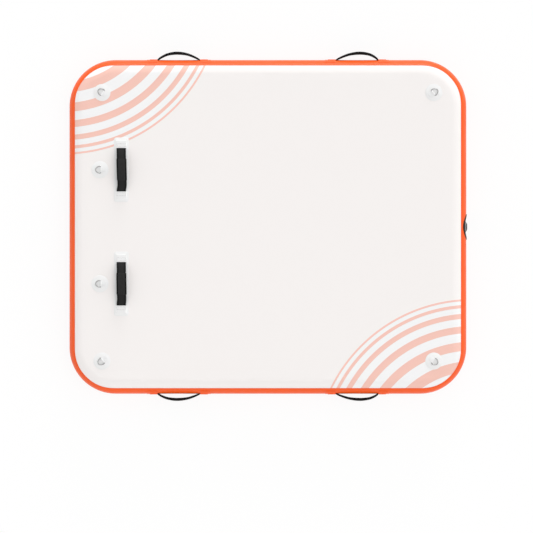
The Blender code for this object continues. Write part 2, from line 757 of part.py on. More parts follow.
def make_valve_body(material):
    outline = (
        (-VALVE_FLANGE, VALVE_FLANGE_RADIUS),
        (-VALVE_FLANGE_EDGE, VALVE_FLANGE_RADIUS),
        (0, VALVE_FLANGE_RADIUS - VALVE_FLANGE_EDGE),
        (0, VALVE_NECK_RADIUS),
        (VALVE_NECK - VALVE_RIM, VALVE_NECK_RADIUS),
        (VALVE_NECK - VALVE_RIM, VALVE_NECK_RADIUS + VALVE_RIM_LIP),
        (VALVE_NECK, VALVE_NECK_RADIUS + VALVE_RIM_LIP),
        (VALVE_NECK, VALVE_MOUTH_RADIUS),
        (-VALVE_BARREL + VALVE_SEAT + VALVE_SEAT_CONE, VALVE_MOUTH_RADIUS),
        (-VALVE_BARREL + VALVE_SEAT, VALVE_SEAT_RADIUS),
        (-VALVE_BARREL, VALVE_SEAT_RADIUS),
        (-VALVE_BARREL, VALVE_BARREL_RADIUS),
        (-VALVE_FLANGE, VALVE_BARREL_RADIUS),
    )
    body = make_turned("valve_body", outline, material)
    bm = bmesh.new()
    add_prism(bm, spider_outline(), -SPIDER_DEPTH, -SPIDER_DEPTH + SPIDER, valve_point)
    add_boolean(body, make_helper("spider", bm), "UNION")
    bm = bmesh.new()
    bore = circle(STEM_RADIUS + GAP, VALVE_SIDES)
    add_prism(bm, bore, -SPIDER_DEPTH - OVERRUN, -SPIDER_DEPTH + SPIDER + OVERRUN, valve_point)
    add_boolean(body, make_helper("stem_cutter", bm), "DIFFERENCE")


def make_nut(material):
    """The clamping nut inside the wall, with notches round its edge for the spanner."""
    front = -VALVE_FLANGE - GAP - PATCH - GAP - BAND - GAP - SIDE_STRIP - GAP
    bm = bmesh.new()
    inner = circle(VALVE_BARREL_RADIUS + GAP, VALVE_SIDES)
    outer = []
    for i, (a, b) in enumerate(circle(NUT_RADIUS, VALVE_SIDES)):
        shrink = 1 if i % NUT_NOTCH_EVERY else 1 - NUT_NOTCH / NUT_RADIUS
        outer.append((a * shrink, b * shrink))
    levels = ((front, outer), (front - NUT, outer), (front - NUT, inner), (front, inner))
    add_rings(bm, [[valve_point(a, b, u) for a, b in ring] for u, ring in levels], closed=True)
    make_object("valve_nut", bm, material, valve_origin())


def make_stem(materials):
    seal_front = -VALVE_BARREL - GAP
    disc_front = seal_front - STEM_SEAL - GAP
    stem_end = -BUTTON_DEPTH - BUTTON_FLOOR - GAP
    outline = (
        (stem_end, 0),
        (stem_end, STEM_RADIUS),
        (disc_front, STEM_RADIUS),
        (disc_front, STEM_DISC_RADIUS),
        (disc_front - STEM_DISC, STEM_DISC_RADIUS),
        (disc_front - STEM_DISC, 0),
    )
    make_turned("valve_stem", outline, materials["valve_dark"], closed=False)
    bore = STEM_RADIUS + GAP
    seal = (
        (seal_front, bore),
        (seal_front, STEM_DISC_RADIUS),
        (seal_front - STEM_SEAL, STEM_DISC_RADIUS),
        (seal_front - STEM_SEAL, bore),
    )
    make_turned("valve_stem_seal", seal, materials["rubber"])
    button = (
        (-BUTTON_DEPTH, 0),
        (-BUTTON_DEPTH, BUTTON_RADIUS - CAP_EDGE),
        (-BUTTON_DEPTH - CAP_EDGE, BUTTON_RADIUS),
        (-BUTTON_DEPTH - BUTTON, BUTTON_RADIUS),
        (-BUTTON_DEPTH - BUTTON, bore),
        (-BUTTON_DEPTH - BUTTON_FLOOR, bore),
        (-BUTTON_DEPTH - BUTTON_FLOOR, 0),
    )
    make_turned("valve_button", button, materials["valve_dark"], closed=False)


def make_spring(material):
    """An open coil between the spider and the button, as one unbroken wire."""
    low = -SPIDER_DEPTH + SPIDER + GAP + SPRING_WIRE / 2
    high = -BUTTON_DEPTH - BUTTON - GAP - SPRING_WIRE / 2
    count = SPRING_TURNS * SPRING_TURN_POINTS
    points = []
    for step in range(count + 1):
        turn = 2 * pi * step / SPRING_TURN_POINTS
        along = low + (high - low) * step / count
        points.append(valve_point(SPRING_RADIUS * cos(turn), SPRING_RADIUS * sin(turn), along))
    apart = range(SPRING_TURN_POINTS // 2, count + 1)
    least = min(dist(points[i], points[i + k]) for k in apart for i in range(count + 1 - k)) - SPRING_WIRE
    print(f"least gap between turns of the spring: {least * 1000:.2f} mm")
    curve = bpy.data.curves.new("valve_spring", "CURVE")
    curve.dimensions = "3D"
    curve.bevel_depth = SPRING_WIRE / 2
    curve.bevel_resolution = 1
    curve.use_fill_caps = True
    spline = curve.splines.new("POLY")
    spline.points.add(len(points) - 1)
    for point, place in zip(spline.points, points):
        point.co = (*place, 1)
    curve.materials.append(material)
    bpy.context.scene.collection.objects.link(bpy.data.objects.new("valve_spring", curve))


def make_cap(material):
    seat = VALVE_NECK + GAP + TETHER + GAP
    skirt = VALVE_MOUTH_RADIUS - GAP
    top = seat + CAP_HEAD
    outline = (
        (top, 0),
        (top, CAP_RADIUS - CAP_EDGE),
        (top - CAP_EDGE, CAP_RADIUS),
        (seat, CAP_RADIUS),
        (seat, skirt),
        (-CAP_SKIRT_DEPTH, skirt),
        (-CAP_SKIRT_DEPTH, skirt - CAP_SKIRT),
        (seat - CAP_EDGE, skirt - CAP_SKIRT),
        (seat - CAP_EDGE, 0),
    )
    cap = make_turned("valve_cap", outline, material, closed=False)
    bm = bmesh.new()
    steps = DECK_BASE_ROUND_STEPS
    bar = rounded_outline(CAP_GRIP_LENGTH / 2, CAP_GRIP_WIDTH / 2, CAP_GRIP_WIDTH / 2 - CAP_EDGE, steps)
    add_prism(bm, bar, top - CAP_EDGE, top + CAP_GRIP, valve_point)
    add_boolean(cap, make_helper("cap_grip", bm), "UNION")


def make_tether(material):
    """A moulded strap: a ring round the neck, a loop round the cap's skirt and the bow between them."""
    neck = VALVE_NECK_RADIUS + GAP
    ring_u = GAP + TETHER / 2
    loop_u = VALVE_NECK + GAP + TETHER / 2
    ring_out = neck + TETHER_RING
    loop_out = VALVE_MOUTH_RADIUS + TETHER_LOOP
    turns = [pi * step / TETHER_BOW_STEPS for step in range(TETHER_BOW_STEPS + 1)]
    middle = (ring_u + loop_u) / 2
    half = (loop_u - ring_u) / 2
    flat = [(ring_out - OVERRUN, ring_u, None)]
    flat += [(ring_out + TETHER_BULGE * sin(turn), middle - half * cos(turn), None) for turn in turns]
    flat += [(loop_out - OVERRUN, loop_u, None)]
    rings = []
    for (r, u, _), normal in zip(flat, station_normals(flat)):
        ring = []
        for side, places in ((1, (-1, 1)), (-1, (1, -1))):
            level = side * TETHER / 2
            for place in places:
                along = u + normal.y * level
                ring.append(valve_point(place * TETHER_WIDTH / 2, -(r + normal.x * level), along))
        rings.append(ring)
    bm = bmesh.new()
    add_sweep(bm, rings)
    tether = make_object("valve_tether", bm, material, valve_origin())
    ring = valve_ring("neck_ring", GAP, GAP + TETHER, neck, ring_out)
    add_boolean(tether, ring, "UNION")
    loop = valve_ring("cap_loop", VALVE_NECK + GAP, VALVE_NECK + GAP + TETHER, VALVE_MOUTH_RADIUS, loop_out)
    add_boolean(tether, loop, "UNION")


def make_valve(materials, pierced):
    patch = make_valve_patch(materials["valve_dark"])
    cutter = make_barrel_cutter()
    for sheet in (*pierced, patch):
        add_boolean(sheet, cutter, "DIFFERENCE")
    make_valve_body(materials["valve_light"])
    make_nut(materials["valve_light"])
    make_stem(materials)
    make_spring(materials["steel"])
    make_cap(materials["valve_dark"])
    make_tether(materials["valve_dark"])


def main():
    clear_scene()
    make_material("helper", (0.5, 0.5, 0.5), 1.0)
    materials = {
        "deck": make_material("deck_sheet", (0.90, 0.87, 0.85), 0.55),
        "bottom": make_material("bottom_sheet", (0.88, 0.87, 0.86), 0.55),
        "inner_wall": make_material("inner_wall_sheet", (0.75, 0.75, 0.76), 0.6),
        "tape": make_material("seam_tape", (0.80, 0.80, 0.80), 0.6),
        "band": make_material("band_sheet", (0.95, 0.16, 0.03), 0.5),
        "core": make_material("drop_stitch", (0.90, 0.90, 0.88), 0.9),
        "patch": make_material("patch_sheet", (0.87, 0.87, 0.87), 0.5),
        "tab": make_material("tab_sheet", (0.84, 0.84, 0.84), 0.6),
        "webbing": make_material("webbing", (0.02, 0.02, 0.02), 0.85),
        "grip": make_material("grip_cover", (0.025, 0.025, 0.025), 0.8),
        "steel": make_material("stainless_steel", (0.60, 0.60, 0.60), 0.25, 1.0),
        "valve_dark": make_material("valve_black", (0.02, 0.02, 0.022), 0.45),
        "valve_light": make_material("valve_grey", (0.62, 0.65, 0.65), 0.4),
        "rubber": make_material("seal_rubber", (0.04, 0.04, 0.04), 0.8),
    }
    pierced = make_chamber(materials)
    make_core(materials["core"])
    make_rings(materials)
    make_handles(materials)
    make_valve(materials, pierced)


main()
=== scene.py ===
# %% [markdown]
# # An inflatable dock platform
# The real object is a raft of drop-stitch fabric, blown up hard with a pump. It has a white deck, an
# orange band glued round the side, steel tie rings, black handles and one valve. This lesson makes
# each visible piece in the way the factory does: cut flat, stitched or stuffed flat, and then laid on
# the chamber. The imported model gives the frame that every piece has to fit.

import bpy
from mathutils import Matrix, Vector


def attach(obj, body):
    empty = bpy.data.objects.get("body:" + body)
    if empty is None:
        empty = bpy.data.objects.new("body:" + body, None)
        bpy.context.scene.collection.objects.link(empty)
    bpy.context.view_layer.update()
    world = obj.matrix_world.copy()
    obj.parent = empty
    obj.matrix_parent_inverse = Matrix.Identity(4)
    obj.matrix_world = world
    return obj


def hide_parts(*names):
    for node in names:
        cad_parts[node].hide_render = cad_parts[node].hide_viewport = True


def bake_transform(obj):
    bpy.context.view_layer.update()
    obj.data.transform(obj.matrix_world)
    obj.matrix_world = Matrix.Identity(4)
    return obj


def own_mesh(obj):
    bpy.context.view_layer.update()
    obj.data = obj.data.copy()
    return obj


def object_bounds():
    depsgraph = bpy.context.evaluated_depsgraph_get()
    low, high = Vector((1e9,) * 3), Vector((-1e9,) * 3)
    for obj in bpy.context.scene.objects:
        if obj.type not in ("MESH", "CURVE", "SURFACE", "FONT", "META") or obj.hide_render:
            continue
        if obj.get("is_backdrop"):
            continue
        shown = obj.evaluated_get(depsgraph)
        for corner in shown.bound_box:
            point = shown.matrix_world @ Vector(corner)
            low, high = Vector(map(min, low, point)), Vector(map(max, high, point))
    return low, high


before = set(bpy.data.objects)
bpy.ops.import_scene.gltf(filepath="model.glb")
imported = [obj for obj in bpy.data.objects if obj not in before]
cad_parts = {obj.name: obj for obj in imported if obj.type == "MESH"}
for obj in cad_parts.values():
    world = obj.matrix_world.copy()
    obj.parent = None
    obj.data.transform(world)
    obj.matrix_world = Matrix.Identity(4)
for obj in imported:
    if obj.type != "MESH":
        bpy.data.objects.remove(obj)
cad_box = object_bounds()
print("the model measures", [round(high - low, 4) for low, high in zip(*cad_box)])

# %% [markdown]
# ## Sizes that several pieces share
# All lengths are in metres. The chamber's side is half round: it starts at the deck's rim, which is
# called the rail here, and swells out by SHOULDER. Each sheet lies a clearance of GAP above the sheet
# that carries it, as in the model.

# %% Shared sizes
from math import acos, asin, cos, hypot, pi, radians, sin

import bmesh
import bpy
from mathutils import Matrix, Vector

THICKNESS = 0.150
MIDDLE = THICKNESS / 2
SHOULDER = 0.072
RAIL_X, RAIL_Y, RAIL_RADIUS = 0.9165, 0.759, 0.158
GAP = 0.0003
SHEET = 0.0012
BAND_OUT = GAP + SHEET
DECK_TOP = THICKNESS + GAP
PATCH_TOP = DECK_TOP + SHEET
BAND_ANGLE = acos(1 - 0.028 / SHOULDER)
SEAM_ANGLE = 0.727 * BAND_ANGLE
print("the band reaches", round(MIDDLE * sin(BAND_ANGLE), 4), "above and below the middle of the side")

# %% [markdown]
# ## From a bmesh to a finished piece
# Every piece ends the same way: its faces are turned outwards, it gets its material, its smooth
# shading and, where an edge should catch the light, a narrow bevel. It then rides on the body that
# carries it. One helper keeps these steps in one place.

# %% Finish a piece
def ease_edges(piece, width, angle):
    edge = piece.modifiers.new("eased edges", "BEVEL")
    edge.width = width
    edge.segments = 2
    edge.limit_method = "ANGLE"
    edge.angle_limit = radians(angle)


def finish_piece(name, bm, material, body=None, stands_for=(), bevel=0.0, sharp=35):
    bmesh.ops.recalc_face_normals(bm, faces=bm.faces)
    mesh = bpy.data.meshes.new(name)
    bm.to_mesh(mesh)
    bm.free()
    mesh.materials.append(material)
    mesh.shade_smooth()
    mesh.set_sharp_from_angle(angle=radians(sharp))
    piece = bpy.data.objects.new(name, mesh)
    bpy.context.scene.collection.objects.link(piece)
    if bevel:
        ease_edges(piece, bevel, 40)
    if stands_for:
        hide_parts(*stands_for)
    if body:
        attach(piece, body)
    print(f"{name}: {len(mesh.polygons)} faces")
    return piece


# %% [markdown]
# ## Node helpers for the finishes
# The model's nodes already carry one plain material for each slot, so a finish is built up inside
# that material, and the inner pieces get it too. All finishes are made of nodes, with no pictures.
# Their patterns read Object coordinates, which are metres here, so a pattern's size can be given as
# the real one. `stripes` works out a wave texture's scale from the wanted spacing. An input that gets
# a socket is linked to it, and one that gets a number keeps the number.

# %% Node helpers
WAVE_PERIOD = pi / 10


def new_finish(name, colour, roughness, metallic=0.0, shine=0.5):
    material = bpy.data.materials.get(name) or bpy.data.materials.new(name)
    material.use_nodes = True
    shader = material.node_tree.nodes["Principled BSDF"]
    shader.inputs["Base Color"].default_value = (*colour, 1)
    shader.inputs["Roughness"].default_value = roughness
    shader.inputs["Metallic"].default_value = metallic
    shader.inputs["Specular IOR Level"].default_value = shine
    return material


def add_node(material, kind, inputs=None, **settings):
    node = material.node_tree.nodes.new(kind)
    for name, value in settings.items():
        setattr(node, name, value)
    for name, value in (inputs or {}).items():
        if isinstance(value, bpy.types.NodeSocket):
            material.node_tree.links.new(value, node.inputs[name])
        else:
            node.inputs[name].default_value = value
    return node


def shader_input(material, name, socket):
    material.node_tree.links.new(socket, material.node_tree.nodes["Principled BSDF"].inputs[name])


def object_place(material):
    return add_node(material, "ShaderNodeTexCoord").outputs["Object"]


def stripes(material, place, spacing, way):
    inputs = {"Vector": place, "Scale": WAVE_PERIOD / spacing}
    return add_node(material, "ShaderNodeTexWave", inputs, bands_direction=way).outputs["Fac"]


def cloud(material, place, size, detail=2.0):
    inputs = {"Vector": place, "Scale": 1 / size, "Detail": detail}
    return add_node(material, "ShaderNodeTexNoise", inputs).outputs["Fac"]


def scaled(material, value, low, high, start=0.3, end=0.7):
    inputs = {"Value": value, "From Min": start, "From Max": end, "To Min": low, "To Max": high}
    return add_node(material, "ShaderNodeMapRange", inputs).outputs["Result"]


def combine(material, operation, first, second):
    node = add_node(material, "ShaderNodeMath", {0: first, 1: second}, operation=operation)
    return node.outputs[0]


def tone(material, value, dark, light):
    """A colour between two: a colour mix keeps its factor in socket 0 and its colours in 6 and 7."""
    inputs = {0: value, 6: (*dark, 1), 7: (*light, 1)}
    return add_node(material, "ShaderNodeMix", inputs, data_type="RGBA").outputs[2]


def emboss(material, height, depth, strength=1.0):
    inputs = {"Height": height, "Distance": depth, "Strength": strength}
    bump = add_node(material, "ShaderNodeBump", inputs)
    shader_input(material, "Normal", bump.outputs["Normal"])


# %% [markdown]
# ## Coated fabric
# The chamber's sheets are woven polyester with a plastic coat. The coat is satin, and the weave under
# it shows as a fine emboss. The colour is never quite even, because the coat's thickness varies. Three
# crossed sets of stripes give the emboss on every side of the object, one for each direction, and two
# noises vary the colour and the gloss.

# %% Coated fabric
WEAVE = 0.0011


def coated_fabric(name, colour, roughness, evenness=0.97, shine=0.3):
    material = new_finish(name, colour, roughness, shine=shine)
    place = object_place(material)
    tint = scaled(material, cloud(material, place, 0.18), 0.0, 1.0)
    dark = [evenness * part for part in colour]
    shader_input(material, "Base Color", tone(material, tint, dark, colour))
    gloss = cloud(material, place, 0.02, 4.0)
    shader_input(material, "Roughness", scaled(material, gloss, roughness - 0.05, roughness + 0.07))
    grain = cloud(material, place, 0.0006)
    for way in "XYZ":
        grain = combine(material, "ADD", grain, stripes(material, place, WEAVE, way))
    emboss(material, grain, 0.00005, 0.6)
    return material


band_sheet = coated_fabric("band_sheet", (0.95, 0.107, 0.010), 0.36, 0.95, 0.25)
bottom_sheet = coated_fabric("bottom_sheet", (0.86, 0.86, 0.86), 0.5)
patch_sheet = coated_fabric("patch_sheet", (0.875, 0.872, 0.870), 0.45, 0.985)
tab_sheet = coated_fabric("tab_sheet", (0.85, 0.85, 0.85), 0.5, 0.96)
coated_fabric("inner_wall_sheet", (0.72, 0.72, 0.73), 0.6)
coated_fabric("seam_tape", (0.78, 0.78, 0.79), 0.55)
print("coated fabrics:", [m.name for m in bpy.data.materials])

# %% [markdown]
# ## The printed deck
# Two fans of stripes are printed on the deck, in opposite corners. Each fan is a set of rings about
# one point outside the deck, and the rings grow thinner outwards. The distance to the nearer of the
# two points goes through a colour ramp with sharp steps, so the stripes need no picture and no extra
# geometry. Between the stripes lies a slightly cooler white than on the rest of the deck.

# %% Deck sheet with printed stripes
FAN_CENTRES = ((-1.0155, 1.144, 0.0), (1.0155, -1.144, 0.0))
STRIPE_EDGES = (
    0.4214, 0.4728, 0.5269, 0.5701, 0.6155, 0.6492, 0.6856, 0.7108, 0.7388, 0.7547, 0.7735, 0.7814,
)
RAMP_START, RAMP_END = 0.2, 1.0
WHITE = (0.905, 0.871, 0.855)
COOL_WHITE = (0.900, 0.897, 0.900)
STRIPE = (0.900, 0.560, 0.480)

deck_sheet = coated_fabric("deck_sheet", WHITE, 0.5, 0.99, 0.2)
inputs = {0: object_place(deck_sheet), 1: (1, 1, 0)}
flat_place = add_node(deck_sheet, "ShaderNodeVectorMath", inputs, operation="MULTIPLY").outputs[0]
reaches = []
for centre in FAN_CENTRES:
    inputs = {0: flat_place, 1: centre}
    node = add_node(deck_sheet, "ShaderNodeVectorMath", inputs, operation="DISTANCE")
    reaches.append(node.outputs["Value"])
nearer = combine(deck_sheet, "MINIMUM", *reaches)
along_ramp = scaled(deck_sheet, nearer, 0.0, 1.0, RAMP_START, RAMP_END)
ramp = add_node(deck_sheet, "ShaderNodeValToRGB", {"Fac": along_ramp})
ramp.color_ramp.interpolation = "CONSTANT"
ramp.color_ramp.elements[0].color = (*COOL_WHITE, 1)
ramp.color_ramp.elements.remove(ramp.color_ramp.elements[1])
for number, edge in enumerate(STRIPE_EDGES):
    stop = ramp.color_ramp.elements.new((edge - RAMP_START) / (RAMP_END - RAMP_START))
    stop.color = (*(STRIPE if number % 2 == 0 else COOL_WHITE), 1)
ramp.color_ramp.elements[-1].color = (*WHITE, 1)
shader_input(deck_sheet, "Base Color", ramp.outputs["Color"])
print("printed rings:", len(STRIPE_EDGES) // 2, "in each of", len(FAN_CENTRES), "corners")

# %% [markdown]
# ## Webbing, pads and thread
# Webbing has ribs along its length and shorter picks across them. It has to follow the strap round
# its bends, so its pattern reads a UV map that keeps the flat strap's own measure in metres. The same
# map tells how far a point is from the strap's middle. The colour is painted darker towards both
# edges, as painted shade where the webbing and the pads slope away, and on the pads a faint lighter
# line is painted along each seam.

# %% Webbing, pads and thread
FLAT_MAP = "flat_cloth"
STRAP_HALF = 0.025
CLOTH_SHINE = 0.25


def flat_place_of(material):
    return add_node(material, "ShaderNodeUVMap", uv_map=FLAT_MAP).outputs["UV"]


# Painted shade: a ramp across the strap that darkens the colour towards its edges.
def paint_edge_shade(material, place, edge_shade_stops):
    across = add_node(material, "ShaderNodeSeparateXYZ", {"Vector": place}).outputs["Y"]
    from_middle = combine(material, "ABSOLUTE", across, 0.0)
    share = scaled(material, from_middle, 0.0, 1.0, 0.0, STRAP_HALF)
    ramp = add_node(material, "ShaderNodeValToRGB", {"Fac": share})
    elements = ramp.color_ramp.elements
    elements.remove(elements[1])
    elements[0].color = (*[edge_shade_stops[0][1]] * 3, 1)
    for place_from_middle, grey in edge_shade_stops[1:]:
        elements.new(place_from_middle / STRAP_HALF).color = (*[grey] * 3, 1)
    return ramp.outputs["Color"]


def darkened(material, colour, value, least):
    inputs = {0: colour, "Scale": scaled(material, value, least, 1.0)}
    return add_node(material, "ShaderNodeVectorMath", inputs, operation="SCALE").outputs[0]


webbing = new_finish("webbing", (0.020, 0.020, 0.021), 0.85, shine=CLOTH_SHINE)
place = flat_place_of(webbing)
ribs = stripes(webbing, place, 0.0017, "Y")
picks = stripes(webbing, place, 0.0009, "X")
weave = combine(webbing, "MULTIPLY", ribs, picks)
# The webbing's colour, with painted shade at both edges.
across = paint_edge_shade(webbing, place, ((0, 0.022), (0.012, 0.022), (0.016, 0.004)))
shader_input(webbing, "Base Color", darkened(webbing, across, weave, 0.5))
emboss(webbing, combine(webbing, "ADD", weave, cloud(webbing, place, 0.0005)), 0.0003)

grip_cover = new_finish("grip_cover", (0.022, 0.022, 0.022), 0.9, shine=CLOTH_SHINE)
place = flat_place_of(grip_cover)
inputs = {"Vector": place, "Scale": 1 / 0.0011}
knit = add_node(grip_cover, "ShaderNodeTexVoronoi", inputs).outputs["Distance"]
patchy = cloud(grip_cover, place, 0.012, 4.0)
# The pad's colour: painted shade at both edges, and a faint lighter line along each seam.
edge_shade_stops = ((0, 0.022), (0.0120, 0.022), (0.0135, 0.044), (0.0150, 0.034), (0.0165, 0.004))
across = paint_edge_shade(grip_cover, place, edge_shade_stops)
shader_input(grip_cover, "Base Color", darkened(grip_cover, across, patchy, 0.65))
emboss(grip_cover, knit, 0.00035)

drop_stitch = new_finish("drop_stitch", (0.86, 0.86, 0.84), 0.9)
place = object_place(drop_stitch)
warp, weft = (stripes(drop_stitch, place, 0.0008, way) for way in "XY")
plain_weave = combine(drop_stitch, "MULTIPLY", warp, weft)
emboss(drop_stitch, plain_weave, 0.0002)
thread_tone = tone(drop_stitch, plain_weave, (0.74, 0.74, 0.72), (0.90, 0.90, 0.88))
shader_input(drop_stitch, "Base Color", thread_tone)
print("woven finishes: webbing, grip_cover, drop_stitch")

# %% [markdown]
# ## Steel, moulded plastic and rubber
# The rings are polished stainless wire, so they are nearly a mirror with faint drawing marks. The
# valve is moulded: its black pieces have a fine eroded grain, and the grey body is smoother.

# %% Steel, plastic and rubber
stainless_steel = new_finish("stainless_steel", (0.44, 0.44, 0.435), 0.22, metallic=1.0)
place = object_place(stainless_steel)
marks = cloud(stainless_steel, place, 0.0015, 5.0)
shader_input(stainless_steel, "Roughness", scaled(stainless_steel, marks, 0.16, 0.32))
emboss(stainless_steel, marks, 0.00002, 0.5)


def moulded(name, colour, roughness, grain):
    material = new_finish(name, colour, roughness, shine=0.15)
    place = object_place(material)
    emboss(material, cloud(material, place, grain, 3.0), 0.00006, 0.6)
    wear = cloud(material, place, 0.012, 4.0)
    shader_input(material, "Roughness", scaled(material, wear, roughness - 0.06, roughness + 0.08))
    light = [min(1.0, 1.3 * part + 0.002) for part in colour]
    shader_input(material, "Base Color", tone(material, scaled(material, wear, 0.0, 1.0), colour, light))
    return material


valve_black = moulded("valve_black", (0.006, 0.006, 0.007), 0.55, 0.0005)
valve_grey = moulded("valve_grey", (0.40, 0.41, 0.42), 0.38, 0.0008)
moulded("seal_rubber", (0.035, 0.035, 0.035), 0.75, 0.0004)
print("hard finishes: stainless_steel, valve_black, valve_grey, seal_rubber")

# %% [markdown]
# ## The half-round side
# A side sheet could be lofted from many drawn sections. It is easier to draw one line up the side and
# carry it once round the rail. `side_line` turns a single point about the middle of the side, which
# leaves an arc of edges behind it, and then flattens the arc a little, because the side is less deep
# than half the chamber's thickness.

# %% A line up the side
NO_MERGE = {"use_merge": False, "use_normal_flip": False, "use_duplicate": False}


def side_line(bm, low_angle, high_angle, offset, steps):
    centre = Vector((RAIL_X, 0, MIDDLE))
    radius = MIDDLE + offset
    start = bm.verts.new(centre + Vector((radius * cos(low_angle), 0, radius * sin(low_angle))))
    turn = high_angle - low_angle
    bmesh.ops.spin(
        bm, geom=[start], cent=centre, axis=(0, -1, 0), dvec=(0, 0, 0), angle=turn, steps=steps,
        **NO_MERGE,
    )
    flatten = (SHOULDER + offset) / radius
    bmesh.ops.scale(bm, vec=(flatten, 1, 1), space=Matrix.Translation(-centre), verts=bm.verts)
    return bm.verts[:] + bm.edges[:]


# %% [markdown]
# ## Once round the rail
# `bmesh.ops.spin` repeats a line. With an angle it turns the line round a corner, and with only a
# step it carries the line along a straight. Four straights and four corners close the ring, and the
# last line is merged with the first. The steps beside the valve are small, because the wall is
# pressed flat there.

# %% Carry the line round
STRAIGHT_STEPS, CORNER_STEPS, VALVE_STEPS = 12, 24, 24
VALVE_REACH = 0.096


def carry(bm, line, steps, step=(0, 0, 0), turn=0.0, about=(0, 0, 0)):
    made = bmesh.ops.spin(
        bm, geom=line, cent=about, axis=(0, 0, 1), dvec=step, angle=turn, steps=steps, **NO_MERGE
    )
    return made["geom_last"]


def carry_round_rail(bm, line):
    long, wide = RAIL_X - RAIL_RADIUS, RAIL_Y - RAIL_RADIUS
    half = STRAIGHT_STEPS // 2
    fine = Vector((0, VALVE_REACH / VALVE_STEPS, 0))
    coarse = Vector((0, (wide - VALVE_REACH) / half, 0))
    line = carry(bm, line, VALVE_STEPS, step=fine)
    line = carry(bm, line, half, step=coarse)
    sides = (
        ((long, wide, 0), (-long / half, 0, 0)),
        ((-long, wide, 0), (0, -wide / half, 0)),
        ((-long, -wide, 0), (long / half, 0, 0)),
    )
    for corner, step in sides:
        line = carry(bm, line, CORNER_STEPS, turn=pi / 2, about=corner)
        line = carry(bm, line, STRAIGHT_STEPS, step=step)
    line = carry(bm, line, CORNER_STEPS, turn=pi / 2, about=(long, -wide, 0))
    line = carry(bm, line, half, step=coarse)
    line = carry(bm, line, VALVE_STEPS, step=fine)
    bmesh.ops.remove_doubles(bm, verts=bm.verts, dist=GAP / 3)


# %% [markdown]
# ## The deck and bottom skins
# Each skin is one sheet that wraps over the shoulder and ends under the band. Its rim is carried round
# the rail first. The open middle is then filled with one flat face, and that face is inset, so that
# the smooth shading of the shoulder doesn't run out over the flat deck. A Solidify modifier gives the
# sheet its thickness, inwards.

# %% Skins
DECK_INSET = 0.02


def give_thickness(piece):
    sheet = piece.modifiers.new("sheet thickness", "SOLIDIFY")
    sheet.thickness = SHEET
    sheet.offset = -1


def make_skin(name, node, side, material):
    bm = bmesh.new()
    line = side_line(bm, SEAM_ANGLE, pi / 2, 0, 14)
    carry_round_rail(bm, line)
    rim = [e for e in bm.edges if e.is_boundary and min(v.co.z for v in e.verts) > THICKNESS - GAP]
    deck = bmesh.ops.edgeloop_fill(bm, edges=rim)["faces"]
    bmesh.ops.inset_region(bm, faces=deck, thickness=DECK_INSET, use_even_offset=True)
    if side < 0:
        bmesh.ops.scale(bm, vec=(1, 1, -1), space=Matrix.Translation((0, 0, -MIDDLE)), verts=bm.verts)
    give_thickness(finish_piece(name, bm, material, "platform", [node]))


make_skin("deck_skin", "top_deck_skin", 1, deck_sheet)
make_skin("underside_skin", "bottom_skin", -1, bottom_sheet)

# %% [markdown]
# ## The wall at the valve
# The valve clamps the wall between two flat rings, so the half-round side is pressed flat there and
# swells again all round. `press_limit` is how far out the wall may stand, and `wall_reach` says where
# its face really is, for any place across and any height. The band is pressed by the first, and the
# valve's patch is laid on by the second.

# %% Press the wall flat
VALVE_FLANGE_RADIUS = 0.035
PRESSED_FLAT = VALVE_FLANGE_RADIUS + 0.0013
PRESSED_DEPTH = SHOULDER * (1 - cos(asin(PRESSED_FLAT / MIDDLE)))
PRESS_BLEND = 0.024
PRESS_SOFTNESS = 0.001


def soft_step(value):
    """Rises smoothly from 0 to 1 while the value does, and stays there on both sides."""
    value = min(max(value, 0), 1)
    return value * value * (3 - 2 * value)


def press_limit(y, z):
    share = (hypot(y, z - MIDDLE) - PRESSED_FLAT) / PRESS_BLEND
    return RAIL_X + SHOULDER - PRESSED_DEPTH * (1 - soft_step(share))


def soft_least(first, second, softness):
    mix = min(max(0.5 + 0.5 * (second - first) / softness, 0), 1)
    return second + (first - second) * mix - softness * mix * (1 - mix)


def press_wall(bm, offset):
    for vert in bm.verts:
        if vert.co.x > RAIL_X and abs(vert.co.y) < VALVE_REACH:
            limit = press_limit(vert.co.y, vert.co.z) + offset
            vert.co.x = soft_least(vert.co.x, limit, PRESS_SOFTNESS)


def wall_reach(y, z, offset):
    rise = min(max((z - MIDDLE) / MIDDLE, -1), 1)
    out, up = cos(asin(rise)) / SHOULDER, abs(rise) / MIDDLE
    lean = hypot(out, up) / max(out, GAP)
    bare = RAIL_X + SHOULDER * cos(asin(rise))
    return soft_least(bare + offset * lean, press_limit(y, z) + offset, PRESS_SOFTNESS)


print("the wall is pressed in by", round(PRESSED_DEPTH * 1000, 1), "mm at the valve")

# %% [markdown]
# ## The orange side band
# The band is the strip of coated fabric that covers the butt joints and the laps of both skins. It is
# carried round the rail like the skins. A strip that is pulled round a corner grows a little narrower
# there, which the photograph shows too. Then the band is pressed flat at the valve. The hole for the
# valve's barrel is made by deleting the faces inside its circle, and the rim that stays is slid onto
# the circle.

# %% Side band
BARREL_HOLE = 0.0213
CORNER_STRETCH = 0.07
BAND_EDGE = 0.0003


def stretch_at_corners(bm, offset):
    for vert in bm.verts:
        x, y = abs(vert.co.x) - RAIL_X + RAIL_RADIUS, abs(vert.co.y) - RAIL_Y + RAIL_RADIUS
        if min(x, y) > 0:
            shrink = 1 - CORNER_STRETCH * soft_step(2 * min(x, y) / hypot(x, y))
            out = (hypot(x, y) - RAIL_RADIUS) / (SHOULDER + offset)
            angle = asin(min(max((vert.co.z - MIDDLE) / (MIDDLE + offset), -1), 1))
            reach = (SHOULDER + offset) * (cos(angle * shrink) - out) / hypot(x, y)
            vert.co.x += reach * x * (1 if vert.co.x > 0 else -1)
            vert.co.y += reach * y * (1 if vert.co.y > 0 else -1)
            vert.co.z = MIDDLE + (MIDDLE + offset) * sin(angle * shrink)


